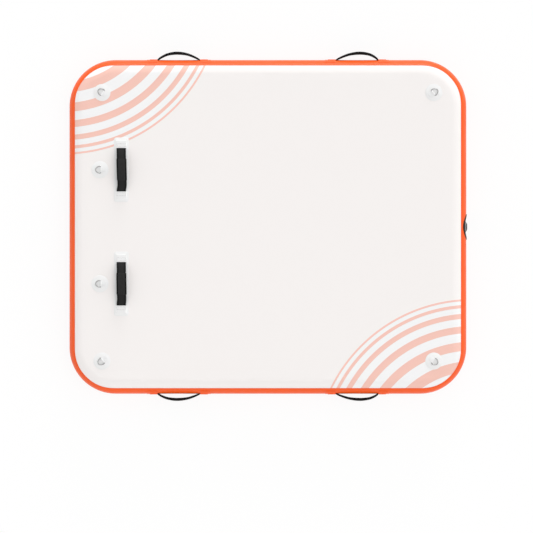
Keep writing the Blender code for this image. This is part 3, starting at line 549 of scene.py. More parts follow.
def make_side_band():
    bm = bmesh.new()
    line = side_line(bm, -BAND_ANGLE, BAND_ANGLE, BAND_OUT, 32)
    carry_round_rail(bm, line)
    stretch_at_corners(bm, BAND_OUT)
    press_wall(bm, BAND_OUT)
    inside = []
    for face in bm.faces:
        centre = face.calc_center_median()
        if centre.x > RAIL_X and hypot(centre.y, centre.z - MIDDLE) < BARREL_HOLE:
            inside.append(face)
    bmesh.ops.delete(bm, geom=inside, context="FACES")
    for vert in bm.verts:
        out = hypot(vert.co.y, vert.co.z - MIDDLE)
        if vert.is_boundary and vert.co.x > RAIL_X and out < 1.5 * BARREL_HOLE:
            vert.co.y *= BARREL_HOLE / out
            vert.co.z = MIDDLE + (vert.co.z - MIDDLE) * BARREL_HOLE / out
    band = finish_piece("side_band", bm, band_sheet, "platform", ["outer_side_band"])
    give_thickness(band)
    ease_edges(band, BAND_EDGE, 60)


make_side_band()

# %% [markdown]
# ## Flat pieces cut from the roll
# Patches and straps start flat. `cut_sheet` makes one rectangle and rounds its corners, `score` adds
# lines across it where it will have to bend, `keep_flat_map` writes down the flat measure as a UV map
# for the weave, and `thicken` makes a closed sheet of it. `bend` then moves every point at once. The
# bevel operator's defaults differ from the editor's, so `round_off` keeps the wanted ones together.

# %% Cut, score, thicken and bend
STEEP = radians(60)


def round_off(bm, geom, size, steps, kind):
    bmesh.ops.bevel(bm, geom=geom, offset=size, segments=steps, profile=0.5, affect=kind, material=-1)


def round_edges(bm, size):
    steep = [edge for edge in bm.edges if edge.calc_face_angle(0) > STEEP]
    round_off(bm, steep, size, 2, "EDGES")


def cut_sheet(length, width, corner=0.0, corner_steps=6):
    bm = bmesh.new()
    bmesh.ops.create_grid(bm, x_segments=1, y_segments=1, size=0.5)
    bmesh.ops.scale(bm, vec=(length, width, 1), verts=bm.verts)
    if corner:
        round_off(bm, bm.verts[:], corner, corner_steps, "VERTICES")
    return bm


def score(bm, places, way):
    for place in places:
        bmesh.ops.bisect_plane(
            bm,
            geom=bm.verts[:] + bm.edges[:] + bm.faces[:],
            dist=GAP / 100,
            plane_co=Vector(way) * place,
            plane_no=way,
        )


def keep_flat_map(bm):
    flat = bm.loops.layers.uv.new(FLAT_MAP)
    for face in bm.faces:
        for loop in face.loops:
            loop[flat].uv = loop.vert.co.xy


def thicken(bm, thickness, ease=0.0):
    bmesh.ops.recalc_face_normals(bm, faces=bm.faces)
    if bm.faces[:][0].normal.z < 0:
        bmesh.ops.reverse_faces(bm, faces=bm.faces)
    bmesh.ops.solidify(bm, geom=bm.faces[:], thickness=thickness)
    bmesh.ops.translate(bm, verts=bm.verts, vec=(0, 0, thickness))
    if ease:
        round_edges(bm, ease)


def bend(bm, to_place):
    for vert in bm.verts:
        vert.co = to_place(vert.co.x, vert.co.y, vert.co.z)


def spaced(start, end, pitch):
    count = max(1, round(abs(end - start) / pitch))
    return [start + (end - start) * i / count for i in range(count + 1)]


# %% [markdown]
# ## Stitches
# A lock stitch is a short length of thread that dips into the cloth at both ends. Hundreds of them
# are needed, so each is a ball with few faces, drawn out along the seam and flattened. They are sewn
# while the piece is still flat, so they bend with it.

# %% Stitches
STITCH_PITCH, STITCH_SHARE = 0.0036, 0.36
FLAT_THREAD = 0.7


def sew(bm, start, end, height, thread=0.0005):
    start, end = Vector((*start, height)), Vector((*end, height))
    count = max(1, round((end - start).length / STITCH_PITCH))
    step = (end - start) / count
    turn = Vector((1, 0, 0)).rotation_difference(step).to_matrix().to_4x4()
    size = Matrix.Diagonal((STITCH_SHARE * step.length, thread, FLAT_THREAD * thread, 1))
    for i in range(count):
        place = Matrix.Translation(start + step * (i + 0.5))
        bmesh.ops.create_uvsphere(bm, u_segments=6, v_segments=4, radius=1, matrix=place @ turn @ size)


def sew_box(bm, low, high, height, thread=0.0005):
    corners = [low, (high[0], low[1]), high, (low[0], high[1]), low]
    for start, end in zip(corners, corners[1:]):
        sew(bm, start, end, height, thread)


# %% [markdown]
# ## Tie ring patches
# Each ring stands on a round patch that is glued to the deck. A disc with eased edges is all it
# needs: a circle with one face, made thick, with its upper edge rounded so that it catches the light.

# %% Tie ring patches
RING_PATCH_RADIUS = 0.0425
HALF_LENGTH, HALF_WIDTH = 0.990, 0.8325
CORNER_INSET, MIDDLE_INSET = 0.165, 0.155
MIDDLE_Y = 0.2835
corner_x, corner_y, corner_turn = HALF_LENGTH - CORNER_INSET, HALF_WIDTH - CORNER_INSET, radians(38)
RINGS = {
    "corner_back_left": (-corner_x, corner_y, pi - corner_turn),
    "corner_back_right": (corner_x, corner_y, corner_turn),
    "corner_front_left": (-corner_x, -corner_y, pi + corner_turn),
    "corner_front_right": (corner_x, -corner_y, -corner_turn),
    "middle_back": (MIDDLE_INSET - HALF_LENGTH, MIDDLE_Y, pi),
    "middle_front": (MIDDLE_INSET - HALF_LENGTH, -MIDDLE_Y, pi),
}

for name, (x, y, turn) in RINGS.items():
    bm = bmesh.new()
    bmesh.ops.create_circle(bm, cap_ends=True, segments=72, radius=RING_PATCH_RADIUS)
    thicken(bm, SHEET, 0.0004)
    bmesh.ops.translate(bm, verts=bm.verts, vec=(x, y, DECK_TOP))
    finish_piece(f"tie_patch_{name}", bm, patch_sheet, "platform", [f"ring_patch_{name}"])

# %% [markdown]
# ## The folded tabs
# A tab is a strip of coated webbing that runs over the ring's straight bar and is stitched down in
# front and behind. Its side view is one line: a short foot, half a turn round the bar and a long foot.
# The line is made by extruding and spinning one point, and drawn out sideways. The long foot's end is
# rounded before the strip gets its thickness.

# %% Tabs
RING_WIRE = 0.0045
RING_SETBACK = 0.004
TAB_WIDTH, TAB_SHEET = 0.026, 0.0014
TAB_FRONT, TAB_BACK = 0.003, 0.026
TAB_CORNER, TAB_EDGE = 0.008, 0.0003
SEAM_SIDE, SEAM_BACK, SEAM_FRONT = 0.0035, 0.003, 0.004


def stand_at_ring(bm, x, y, turn, height):
    bmesh.ops.rotate(bm, verts=bm.verts, cent=(0, 0, 0), matrix=Matrix.Rotation(turn, 3, "Z"))
    place = (x - RING_SETBACK * cos(turn), y - RING_SETBACK * sin(turn), height)
    bmesh.ops.translate(bm, verts=bm.verts, vec=place)


def sew_crossed_box(bm, low, high, height):
    sew_box(bm, low, high, height)
    sew(bm, low, high, height)
    sew(bm, (low[0], high[1]), (high[0], low[1]), height)


def make_tab(name, x, y, turn):
    tunnel = RING_WIRE / 2 + GAP
    bm = bmesh.new()
    foot = bm.verts.new((tunnel + TAB_SHEET + TAB_FRONT, -TAB_WIDTH / 2, GAP))
    toe = bm.verts.new((tunnel, -TAB_WIDTH / 2, GAP))
    bm.edges.new((foot, toe))
    over = bmesh.ops.spin(
        bm, geom=[toe], cent=(0, 0, tunnel), axis=(0, -1, 0), dvec=(0, 0, 0), angle=pi, steps=14,
        **NO_MERGE,
    )
    heel = next(v for v in over["geom_last"] if isinstance(v, bmesh.types.BMVert))
    heel.co.z = GAP
    back = bmesh.ops.extrude_vert_indiv(bm, verts=[heel])["verts"][0]
    back.co.x = -TAB_BACK
    line = bm.verts[:] + bm.edges[:]
    carry(bm, line, 1, step=(0, TAB_WIDTH, 0))
    ends = [v for v in bm.verts if v.co.x < GAP - TAB_BACK]
    round_off(bm, ends, TAB_CORNER, 6, "VERTICES")
    bmesh.ops.recalc_face_normals(bm, faces=bm.faces)
    long_foot = max(bm.faces, key=lambda face: face.calc_area())
    if long_foot.normal.z > 0:
        bmesh.ops.reverse_faces(bm, faces=bm.faces)
    bmesh.ops.solidify(bm, geom=bm.faces[:], thickness=TAB_SHEET)
    round_edges(bm, TAB_EDGE)
    low = (SEAM_BACK - TAB_BACK, SEAM_SIDE - TAB_WIDTH / 2)
    high = (-tunnel - SEAM_FRONT, TAB_WIDTH / 2 - SEAM_SIDE)
    sew_crossed_box(bm, low, high, GAP + TAB_SHEET)
    stand_at_ring(bm, x, y, turn, PATCH_TOP)
    finish_piece(f"tie_tab_{name}", bm, tab_sheet, "platform", [f"ring_tab_{name}"])


for name, (x, y, turn) in RINGS.items():
    make_tab(name, x, y, turn)

# %% [markdown]
# ## The steel rings
# A D-ring is bent from round wire, with its ends welded under the tab. Wire is what a curve with a
# round bevel is for: the line of points is the wire's middle, and the bevel's depth is its radius. The
# curve is turned into a mesh before it is put in its place.

# %% D-rings
RING_INSIDE, RING_DEPTH = 0.030, 0.026
RING_HALF = (RING_INSIDE + RING_WIRE) / 2
RING_CORNER, CORNER_POINTS = 0.005, 9
BOW_END, BOW_STEPS = radians(78), 48


def ring_points():
    corner = Vector((0, RING_HALF))
    bar_end = Vector((0, RING_HALF - RING_CORNER))
    bow_start = Vector((RING_DEPTH * cos(BOW_END), RING_HALF * sin(BOW_END)))
    points = []
    for i in range(CORNER_POINTS):
        share = i / (CORNER_POINTS - 1)
        points.append(bar_end.lerp(corner, share).lerp(corner.lerp(bow_start, share), share))
    for i in range(1, BOW_STEPS):
        turn = BOW_END * (1 - 2 * i / BOW_STEPS)
        points.append(Vector((RING_DEPTH * cos(turn), RING_HALF * sin(turn))))
    return points + [Vector((point.x, -point.y)) for point in reversed(points[:CORNER_POINTS])]


def wire_mesh(name, points, radius, closed):
    curve = bpy.data.curves.new(name, "CURVE")
    curve.dimensions = "3D"
    curve.bevel_depth = radius
    curve.bevel_resolution = 5
    curve.use_fill_caps = not closed
    spline = curve.splines.new("POLY")
    spline.points.add(len(points) - 1)
    for point, place in zip(spline.points, points):
        point.co = (*place, 1) if len(place) == 3 else (*place, 0, 1)
    spline.use_cyclic_u = closed
    holder = bpy.data.objects.new(name, curve)
    mesh = bpy.data.meshes.new_from_object(holder)
    bm = bmesh.new()
    bm.from_mesh(mesh)
    bpy.data.objects.remove(holder)
    bpy.data.curves.remove(curve)
    bpy.data.meshes.remove(mesh)
    bmesh.ops.remove_doubles(bm, verts=bm.verts, dist=radius / 100)
    return bm


for name, (x, y, turn) in RINGS.items():
    bm = wire_mesh("ring_wire", ring_points(), RING_WIRE / 2, True)
    stand_at_ring(bm, x, y, turn, PATCH_TOP + GAP + RING_WIRE / 2)
    finish_piece(f"tie_ring_{name}", bm, stainless_steel, f"d_ring_{name}", [f"d_ring_{name}"], sharp=80)

# %% [markdown]
# ## Where a strap runs
# All six handles are one design: a strap of webbing whose ends lie flat under patches, with an arch
# between them. `strap_place` gives the strap's middle line at a distance from the first mouth, and
# `free` says how far the strap has left the wall's curve for its own flat shape. The first few
# millimetres of the arch are eased, because webbing can't crease. Webbing is never quite taut
# sideways: in the photograph both deck straps lean a little, and `slack` gives them that.

# %% The strap's path
WEBBING_WIDTH, WEBBING = 0.046, 0.002
TAIL = 0.036
MOUTH_EASE, SLACK_EASE = 0.007, 0.16


def strap_place(handle, x):
    span = handle["span"]
    share = x / span
    if not 0 < share < 1:
        return Vector((x, handle["root"])), 0
    arch = 1 - abs(2 * share - 1) ** handle["fullness"]
    lift = arch * soft_step(min(x, span - x) / MOUTH_EASE)
    height = handle["root"] + (handle["rise"] - handle["root"]) * lift
    free = min(1, 4 * min(share, 1 - share))
    return Vector((span * share ** (1 / handle["skew"]), height)), free


def slack(handle, share):
    lean, drift = handle["slack"]
    return (lean * (1 - 2 * share) + drift) * soft_step(min(share, 1 - share) / SLACK_EASE)


def on_strap(handle, x, across, up):
    """The place of a point of the flat strap, x along it from the first mouth and up above its middle."""
    reach = WEBBING / 4
    across += slack(handle, min(max(x / handle["span"], 0), 1))
    middle, free = strap_place(handle, x)
    along = strap_place(handle, x + reach)[0] - strap_place(handle, x - reach)[0]
    normal = Vector((-along.y, along.x)).normalized()
    return handle["to_world"](middle.x + normal.x * up, across, middle.y + normal.y * up, free)


# %% [markdown]
# ## The six handles
# A deck handle stands on the deck, and a side handle on the curved wall, so each has its own
# `to_world`: it takes a distance along the strap, a place across it and a height, and gives the point
# in the model's frame. Near the wall a side strap follows the curve, and further out it is flat.
# Webbing never stands quite evenly: in the photograph the side straps' arches lean away from their
# middle (`skew`), and the front ones stand a little less far out (`rise`). `fullness` is how square
# an arch is. `pad`, `belly` and `swell` make the side handles' foam and double fold thicker.

# %% Handle places
DECK_SPAN, SIDE_SPAN = 0.216, 0.213
DECK_HANDLE_X, SIDE_HANDLE_X = -0.729, 0.444


def side_point(rise, offset):
    angle = asin(min(max(rise / MIDDLE, -1), 1))
    out, up = MIDDLE * cos(angle), SHOULDER * sin(angle)
    length = hypot(out, up)
    return SHOULDER * cos(angle) + offset * out / length, MIDDLE + rise + offset * up / length


def deck_to_world(middle_y):
    start = middle_y - DECK_SPAN / 2
    return lambda s, across, height, free: Vector((DECK_HANDLE_X + across, start + s, PATCH_TOP + height))


def side_to_world(side_x, side_y):
    start = side_x * (SIDE_HANDLE_X + SIDE_SPAN / 2)
    near_wall = BAND_OUT + GAP + WEBBING + GAP + SHEET

    def to_world(s, across, height, free):
        near = min(height, near_wall)
        out, up = side_point(across, near)
        out += height - near
        out += (SHOULDER + height - out) * free
        up += (MIDDLE + across - up) * free
        return Vector((start - side_x * s, side_y * (RAIL_Y + out), up))

    return to_world


HANDLES = {}
for place, side_y in (("back", 1), ("front", -1)):
    HANDLES[f"deck_handle_{place}"] = {
        "span": DECK_SPAN, "root": GAP + WEBBING / 2, "rise": 0.032,
        "fullness": 3, "skew": 1, "slack": (0.002 + side_y * 0.0008, 0.0025 + side_y * 0.0005),
        "pad": 0.009, "belly": 0, "swell": 1,
        "to_world": deck_to_world(side_y * MIDDLE_Y),
    }
    for end, side_x in (("left", -1), ("right", 1)):
        HANDLES[f"side_handle_{place}_{end}"] = {
            "span": SIDE_SPAN, "root": BAND_OUT + GAP + WEBBING / 2,
            "rise": BAND_OUT + 0.0314 + side_y * 0.0031,
            "fullness": 2, "skew": 0.86 - side_x * 0.04, "slack": (0, 0),
            "pad": 0.0165, "belly": 0.35, "swell": 5.2,
            "to_world": side_to_world(side_x, side_y),
        }
print("handles:", list(HANDLES))

# %% [markdown]
# ## The webbing
# Each strap is made in two halves that meet inside the pad. Two rows of black stitches run along
# its edges. The side straps are folded double over a thin filler, so they grow thicker towards the
# pad.

# %% Webbing straps
PAD_START = 0.25
STRAP_SCORE, CROSS_SCORE = 0.004, 0.0046
STRAP_SEAM = 0.014
STRAP_EDGE = 0.0005


def fold(handle, x):
    """How far the strap's double fold has opened: none at the mouths, all of it at the pad."""
    share = min(x, handle["span"] - x) / (PAD_START * handle["span"])
    return min(max(share, 0), 1) ** 0.5


def make_strap_half(name, handle, end):
    span = handle["span"]
    low, high = (-TAIL, span / 2) if end == 1 else (span / 2, span + TAIL)
    bm = cut_sheet(high - low, WEBBING_WIDTH)
    bmesh.ops.translate(bm, verts=bm.verts, vec=((low + high) / 2, 0, 0))
    mouth = 0 if end == 1 else span
    at_mouth = [mouth + STRAP_SCORE / 2, mouth - STRAP_SCORE / 2]
    score(bm, spaced(low, high, STRAP_SCORE)[1:-1] + at_mouth, (1, 0, 0))
    score(bm, spaced(-WEBBING_WIDTH / 2, WEBBING_WIDTH / 2, CROSS_SCORE)[1:-1], (0, 1, 0))
    keep_flat_map(bm)
    thicken(bm, WEBBING, STRAP_EDGE)
    bmesh.ops.translate(bm, verts=bm.verts, vec=(0, 0, -WEBBING / 2))
    for side in (-STRAP_SEAM, STRAP_SEAM):
        sew(bm, (low + WEBBING, side), (high, side), WEBBING / 2, 0.0004)
    bend(bm, lambda x, y, z: on_strap(handle, x, y, z * (1 + (handle["swell"] - 1) * fold(handle, x))))
    half = finish_piece(f"{name}_strap_{end}", bm, webbing, None, [f"{name}_webbing"])
    pad_end = PAD_START * span if end == 1 else (1 - PAD_START) * span
    start, stop = (on_strap(handle, place, 0, 0) for place in (mouth, pad_end))
    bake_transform(half)


for name, handle in HANDLES.items():
    make_strap_half(name, handle, 1)
    make_strap_half(name, handle, 2)

# %% [markdown]
# ## One stuffed pad
# The pad is a flat sleeve of knit fabric filled with foam. It is stitched down along two lines, 10 mm
# in from its edges, and once across, so the cover swells between the seams. A cloth simulation with
# a little pressure inside makes just that: the seams and the rim are pinned, and the rest swells. It is
# run once, on a flat pad. The capped result is then bent along all six straps.

# %% Stuff the pad
PAD_WIDTH = 0.050
PAD_LENGTH_SHARE = 0.5
PAD_SEAM = 0.015
PAD_CROSS_SEAM = 0.05
PAD_EMPTY = 0.0052
PAD_MOST = 0.0044
THIN_END, THIN_EDGE = 0.14, 0.16


def empty_pad(length):
    bm = bmesh.new()
    bmesh.ops.create_grid(bm, x_segments=48, y_segments=20, size=0.5)
    bmesh.ops.scale(bm, vec=(length, PAD_WIDTH, 1), verts=bm.verts)
    thicken(bm, PAD_EMPTY)
    bmesh.ops.translate(bm, verts=bm.verts, vec=(0, 0, -PAD_EMPTY / 2))
    rim = [e for e in bm.edges if abs(e.verts[0].co.z - e.verts[1].co.z) > PAD_EMPTY / 2]
    bmesh.ops.subdivide_edges(bm, edges=rim, cuts=1, use_grid_fill=True)
    for vert in bm.verts:
        end = max(0, abs(vert.co.x) / length * 2 - (1 - THIN_END)) / THIN_END
        edge = max(0, abs(vert.co.y) / PAD_WIDTH * 2 - (1 - THIN_EDGE)) / THIN_EDGE
        vert.co.z *= (1 - 0.45 * end * end) * (1 - 0.55 * edge * edge)
        vert.co.x *= 1 - 0.02 * edge * edge * (1 - abs(vert.co.z) / PAD_EMPTY)
    return bm


def pad_pins(bm, length):
    pins = []
    for vert in bm.verts:
        x, y = abs(vert.co.x), abs(vert.co.y)
        at_rim = x > 0.485 * length or y > 0.47 * PAD_WIDTH
        at_seam = abs(y - PAD_SEAM) < 0.0007
        at_cross_seam = abs(vert.co.x + PAD_CROSS_SEAM * length) < 0.0013 and y < PAD_SEAM
        if at_rim or at_seam or at_cross_seam:
            pins.append(vert.index)
    return pins


def stuff_pad(length):
    bm = empty_pad(length)
    bm.verts.index_update()
    pins = pad_pins(bm, length)
    mesh = bpy.data.meshes.new("pad")
    bm.to_mesh(mesh)
    bm.free()
    pad = bpy.data.objects.new("pad", mesh)
    bpy.context.scene.collection.objects.link(pad)
    group = pad.vertex_groups.new(name="pins")
    group.add(pins, 1.0, "REPLACE")
    swell_pad(pad)
    for vert in mesh.vertices:
        vert.co.z = min(max(vert.co.z, -PAD_MOST), PAD_MOST)
    return pad


# %% [markdown]
# ## The simulation itself
# The pad is small, so the cloth is light and the pressure is high against its weight. Twenty frames
# let it settle. The result is copied back and the modifier removed, so nothing is left to simulate.

# %% Swell the pad
FRAMES = 20


def swell_pad(pad):
    cloth = pad.modifiers.new("cloth", "CLOTH")
    settings = cloth.settings
    settings.vertex_group_mass = "pins"
    settings.quality = 6
    settings.mass = 0.15
    settings.tension_stiffness = 12
    settings.compression_stiffness = 12
    settings.shear_stiffness = 6
    settings.bending_stiffness = 0.4
    settings.use_pressure = True
    settings.uniform_pressure_force = 4.0
    settings.effector_weights.gravity = 0.0
    cloth.collision_settings.use_collision = False
    cloth.point_cache.frame_start = 1
    cloth.point_cache.frame_end = FRAMES
    for number in range(1, FRAMES + 1):
        bpy.context.scene.frame_set(number)
    graph = bpy.context.evaluated_depsgraph_get()
    swollen = [vert.co.copy() for vert in pad.evaluated_get(graph).data.vertices]
    pad.modifiers.remove(cloth)
    for vert, place in zip(pad.data.vertices, swollen):
        vert.co = place
    bpy.context.scene.frame_set(1)


PAD_LENGTH = PAD_LENGTH_SHARE * DECK_SPAN
flat_pad = stuff_pad(PAD_LENGTH)
heights = [vert.co.z for vert in flat_pad.data.vertices]
print("the stuffed pad is", round((max(heights) - min(heights)) * 1000, 2), "mm thick")

# %% [markdown]
# ## The pads on their straps
# Each handle takes a copy of the stuffed pad. It is stretched to the strap's own length, thickened to
# its own foam, sewn along its seams and bent along the strap. One level of subdivision rounds it.

# %% Padded grips
SAMPLE_PAD = 0.009


def foam(handle, x):
    """How much thicker than the stuffed sample a handle's foam is, x along it from its middle."""
    return handle["pad"] / SAMPLE_PAD * (1 + handle["belly"] * (1 - (2 * x / PAD_LENGTH) ** 2))


def fit_foam(bm, handle):
    for vert in bm.verts:
        vert.co.z *= foam(handle, vert.co.x)
    stretch = PAD_LENGTH_SHARE * handle["span"] / PAD_LENGTH
    bmesh.ops.scale(bm, vec=(stretch, 1, 1), verts=bm.verts)


def lay_along_strap(bm, handle):
    bmesh.ops.translate(bm, verts=bm.verts, vec=(handle["span"] / 2, 0, 0))
    bend(bm, lambda x, y, z: on_strap(handle, x, y, z))


def make_pad(name, handle):
    bm = bmesh.new()
    bm.from_mesh(flat_pad.data)
    fit_foam(bm, handle)
    keep_flat_map(bm)
    lay_along_strap(bm, handle)
    pad = finish_piece(f"{name}_pad", bm, grip_cover, f"{name}_strap", [f"{name}_grip"])
    smooth = pad.modifiers.new("rounded", "SUBSURF")
    smooth.levels = 1
    smooth.render_levels = 1


def sample_height(x, y):
    upper = [vert.co for vert in flat_pad.data.vertices if vert.co.z > 0]
    return min(upper, key=lambda place: (place.x - x) ** 2 + (place.y - y) ** 2).z


def make_pad_seams(name, handle):
    bm = bmesh.new()
    half = 0.48 * PAD_LENGTH
    for side in (-PAD_SEAM, PAD_SEAM):
        height = sample_height(0.2 * PAD_LENGTH, side)
        for face in (-1, 1):
            sew(bm, (-half, side), (half, side), face * height)
    cross = -PAD_CROSS_SEAM * PAD_LENGTH
    sew(bm, (cross, -PAD_SEAM), (cross, PAD_SEAM), sample_height(cross, 0))
    fit_foam(bm, handle)
    lay_along_strap(bm, handle)
    finish_piece(f"{name}_pad_seams", bm, grip_cover, f"{name}_strap")


for name, handle in HANDLES.items():
    make_pad(name, handle)
    make_pad_seams(name, handle)
bpy.data.objects.remove(flat_pad)

# %% [markdown]
# ## Base patches of the deck handles
# A long rounded patch lies under each deck handle and spreads its pull over the deck.

# %% Base patches
PATCH_RAMP = 0.004
PATCH_MARGIN = 0.008
SIDE_PATCH_TAIL = 0.012
BASE_WIDTH, BASE_MARGIN, BASE_CORNER = 0.073, 0.004, 0.012
BASE_LENGTH = DECK_SPAN + 2 * (TAIL + GAP + PATCH_RAMP + PATCH_MARGIN + BASE_MARGIN)

for place, side_y in (("back", 1), ("front", -1)):
    bm = cut_sheet(BASE_WIDTH, BASE_LENGTH, BASE_CORNER)
    thicken(bm, SHEET, 0.0004)
    bmesh.ops.translate(bm, verts=bm.verts, vec=(DECK_HANDLE_X, side_y * MIDDLE_Y, DECK_TOP))
    name = f"deck_handle_{place}_base"
    finish_piece(name, bm, patch_sheet, "platform", [f"{name}_patch"])

# %% [markdown]
# ## End patches
# Each end of a strap lies under a patch. The patch is glued down all round and lifts over the
# webbing, like a blanket over a plank. A flat sheet is scored finely where it lifts, and each point
# gets its height from two soft ramps, one across the strap and one at its hidden end. A box of
# stitches goes through patch and webbing near the mouth. On the deck its thread is black: painted
# shade, which stands for the faint grey shade along the stitch lines.

# %% End patches
PLATEAU = WEBBING_WIDTH / 2 + 2 * GAP
COARSE_SCORE, FINE_SCORE = 0.006, 0.0008
PATCH_CORNER = 0.0045
BOX_START, BOX_END, BOX_INSET = 0.006, 0.021, 0.0015


def lay_on_strap(handle, mouth, way):
    """Lay a flat point (x from the mouth, y across, z up) on the webbing's tail."""
    low = handle["root"] - WEBBING / 2

    def lay(x, y, z):
        along, across = x - TAIL - GAP, abs(y) - PLATEAU
        lift = soft_step(1 - along / PATCH_RAMP) * soft_step(1 - across / PATCH_RAMP)
        return handle["to_world"](mouth + way * x, y, low + (WEBBING + GAP) * lift + z, 0)

    return lay


def make_end_patch(name, node, lay, half_width, tail, material):
    ramp_start = TAIL + GAP
    length = ramp_start + PATCH_RAMP + tail
    bm = cut_sheet(length, 2 * half_width, PATCH_CORNER)
    bmesh.ops.translate(bm, verts=bm.verts, vec=(length / 2, 0, 0))
    along = spaced(0, TAIL, COARSE_SCORE)[1:] + spaced(ramp_start, ramp_start + PATCH_RAMP, FINE_SCORE)
    score(bm, along, (1, 0, 0))
    across = spaced(0, PLATEAU, COARSE_SCORE) + spaced(PLATEAU, PLATEAU + PATCH_RAMP, FINE_SCORE)[1:]
    score(bm, [-place for place in across[1:]] + across, (0, 1, 0))
    thicken(bm, SHEET, 0.0003)
    bend(bm, lay)
    finish_piece(name, bm, material, "platform", [node])


def make_box_seam(name, lay, material):
    bm = bmesh.new()
    half = WEBBING_WIDTH / 2 - BOX_INSET
    sew_box(bm, (BOX_START, -half), (BOX_END, half), SHEET, 0.0004)
    bend(bm, lay)
    finish_piece(name, bm, material, "platform")


for name, handle in HANDLES.items():
    on_deck = name.startswith("deck")
    half_width = BASE_WIDTH / 2 - BASE_MARGIN if on_deck else MIDDLE * sin(SEAM_ANGLE)
    tail = PATCH_MARGIN if on_deck else SIDE_PATCH_TAIL
    sheet = patch_sheet if on_deck else band_sheet
    nodes = ("end_patch_1", "end_patch_2") if on_deck else ("patch_outer", "patch_inner")
    for node, mouth, way in zip(nodes, (0, handle["span"]), (-1, 1)):
        lay = lay_on_strap(handle, mouth, way)
        make_end_patch(f"{name}_cover_{node[-5:]}", f"{name}_{node}", lay, half_width, tail, sheet)
        # On the deck the stitches take the black webbing finish, as painted shade of the stitch lines.
        make_box_seam(f"{name}_seam_{node[-5:]}", lay, webbing if on_deck else band_sheet)

# %% [markdown]
# ## The valve's round patch
# A black patch is glued on the band round the valve. It starts as the rim of the barrel's hole, which
# is drawn outwards ring by ring, and then each point is laid against the pressed wall. Outside the
# flange it is thicker, because its dark rim stands out beyond the band in the photograph.

# %% Valve patch
VALVE_PATCH_RADIUS, VALVE_PATCH_HEIGHT = 0.0635, 0.051
PATCH_RINGS = 14
RIM_SWELL, SWELL_START, SWELL_BLEND = 0.8, 0.002, 0.010


def rim_swell(x, y):
    """How many times thicker the patch is here than under the flange."""
    beyond = hypot(x, y) - VALVE_FLANGE_RADIUS - SWELL_START
    return 1 + RIM_SWELL * soft_step(beyond / SWELL_BLEND)


def make_valve_patch():
    bm = bmesh.new()
    bmesh.ops.create_circle(bm, cap_ends=False, segments=96, radius=BARREL_HOLE)
    ring = bm.edges[:]
    hole, rim = Vector((BARREL_HOLE, BARREL_HOLE)), Vector((VALVE_PATCH_RADIUS, VALVE_PATCH_HEIGHT))
    for i in range(PATCH_RINGS):
        before, after = (hole.lerp(rim, (i + more) / PATCH_RINGS) for more in (0, 1))
        made = bmesh.ops.extrude_edge_only(bm, edges=ring)["geom"]
        verts = [v for v in made if isinstance(v, bmesh.types.BMVert)]
        ring = [e for e in made if isinstance(e, bmesh.types.BMEdge) and all(v in verts for v in e.verts)]
        bmesh.ops.scale(bm, vec=(after.x / before.x, after.y / before.y, 1), verts=verts)
    thicken(bm, SHEET, 0.0003)

    def lay(x, y, z):
        height = BAND_OUT + GAP + z * rim_swell(x, y)
        return Vector((wall_reach(x, MIDDLE + y, height), x, MIDDLE + y))

    bend(bm, lay)
    finish_piece("valve_pad", bm, valve_black, "platform", ["valve_patch"])


make_valve_patch()

# %% [markdown]
# ## Turned pieces of the valve
# The valve's pieces are round about one line along X. Each is an outline of a few points that is spun
# a full turn, with `use_merge` so that the last step meets the first. Distances along the line are
# measured out from the flange's face. `join` adds a part that isn't round to a turned piece.

# %% Turn an outline
FLANGE, FLANGE_EDGE = 0.0025, 0.0006
FLANGE_FACE = RAIL_X + SHOULDER - PRESSED_DEPTH + BAND_OUT + GAP + SHEET + GAP + FLANGE
MOUTH_RADIUS, NECK_RADIUS, NECK = 0.0163, 0.024, 0.004
TURN_STEPS = 96


def turn_outline(bm, outline):
    points = [bm.verts.new((FLANGE_FACE + out, radius, MIDDLE)) for out, radius in outline]
    for first, second in zip(points, points[1:]):
        bm.edges.new((first, second))
    if outline[0][1] and outline[-1][1]:
        bm.edges.new((points[-1], points[0]))
    edges = [e for e in bm.edges if e.is_wire]
    bmesh.ops.spin(
        bm, geom=points + edges, cent=(FLANGE_FACE, 0, MIDDLE), axis=(1, 0, 0), dvec=(0, 0, 0),
        angle=2 * pi, steps=TURN_STEPS, use_merge=True, use_normal_flip=False, use_duplicate=False,
    )
    bmesh.ops.remove_doubles(bm, verts=bm.verts, dist=GAP / 30)


def join(bm, other):
    mesh = bpy.data.meshes.new("joined")
    other.to_mesh(mesh)
    other.free()
    bm.from_mesh(mesh)
    bpy.data.meshes.remove(mesh)


# %% [markdown]
# ## The valve body
# The grey body has a broad flange against the patch, a short neck with a lip, and the barrel that
# goes through the wall, with three spokes that guide the stem.

# %% Valve body
BARREL_RADIUS, BARREL, SEAT_RADIUS = 0.021, 0.030, 0.009
LIP, LIP_EDGE = 0.0015, 0.0012
SPIDER_DEPTH, SPIDER, SPOKE = 0.020, 0.003, 0.003
HUB_RADIUS, STEM_HOLE, SPOKE_START = 0.0055, 0.0025, 0.005


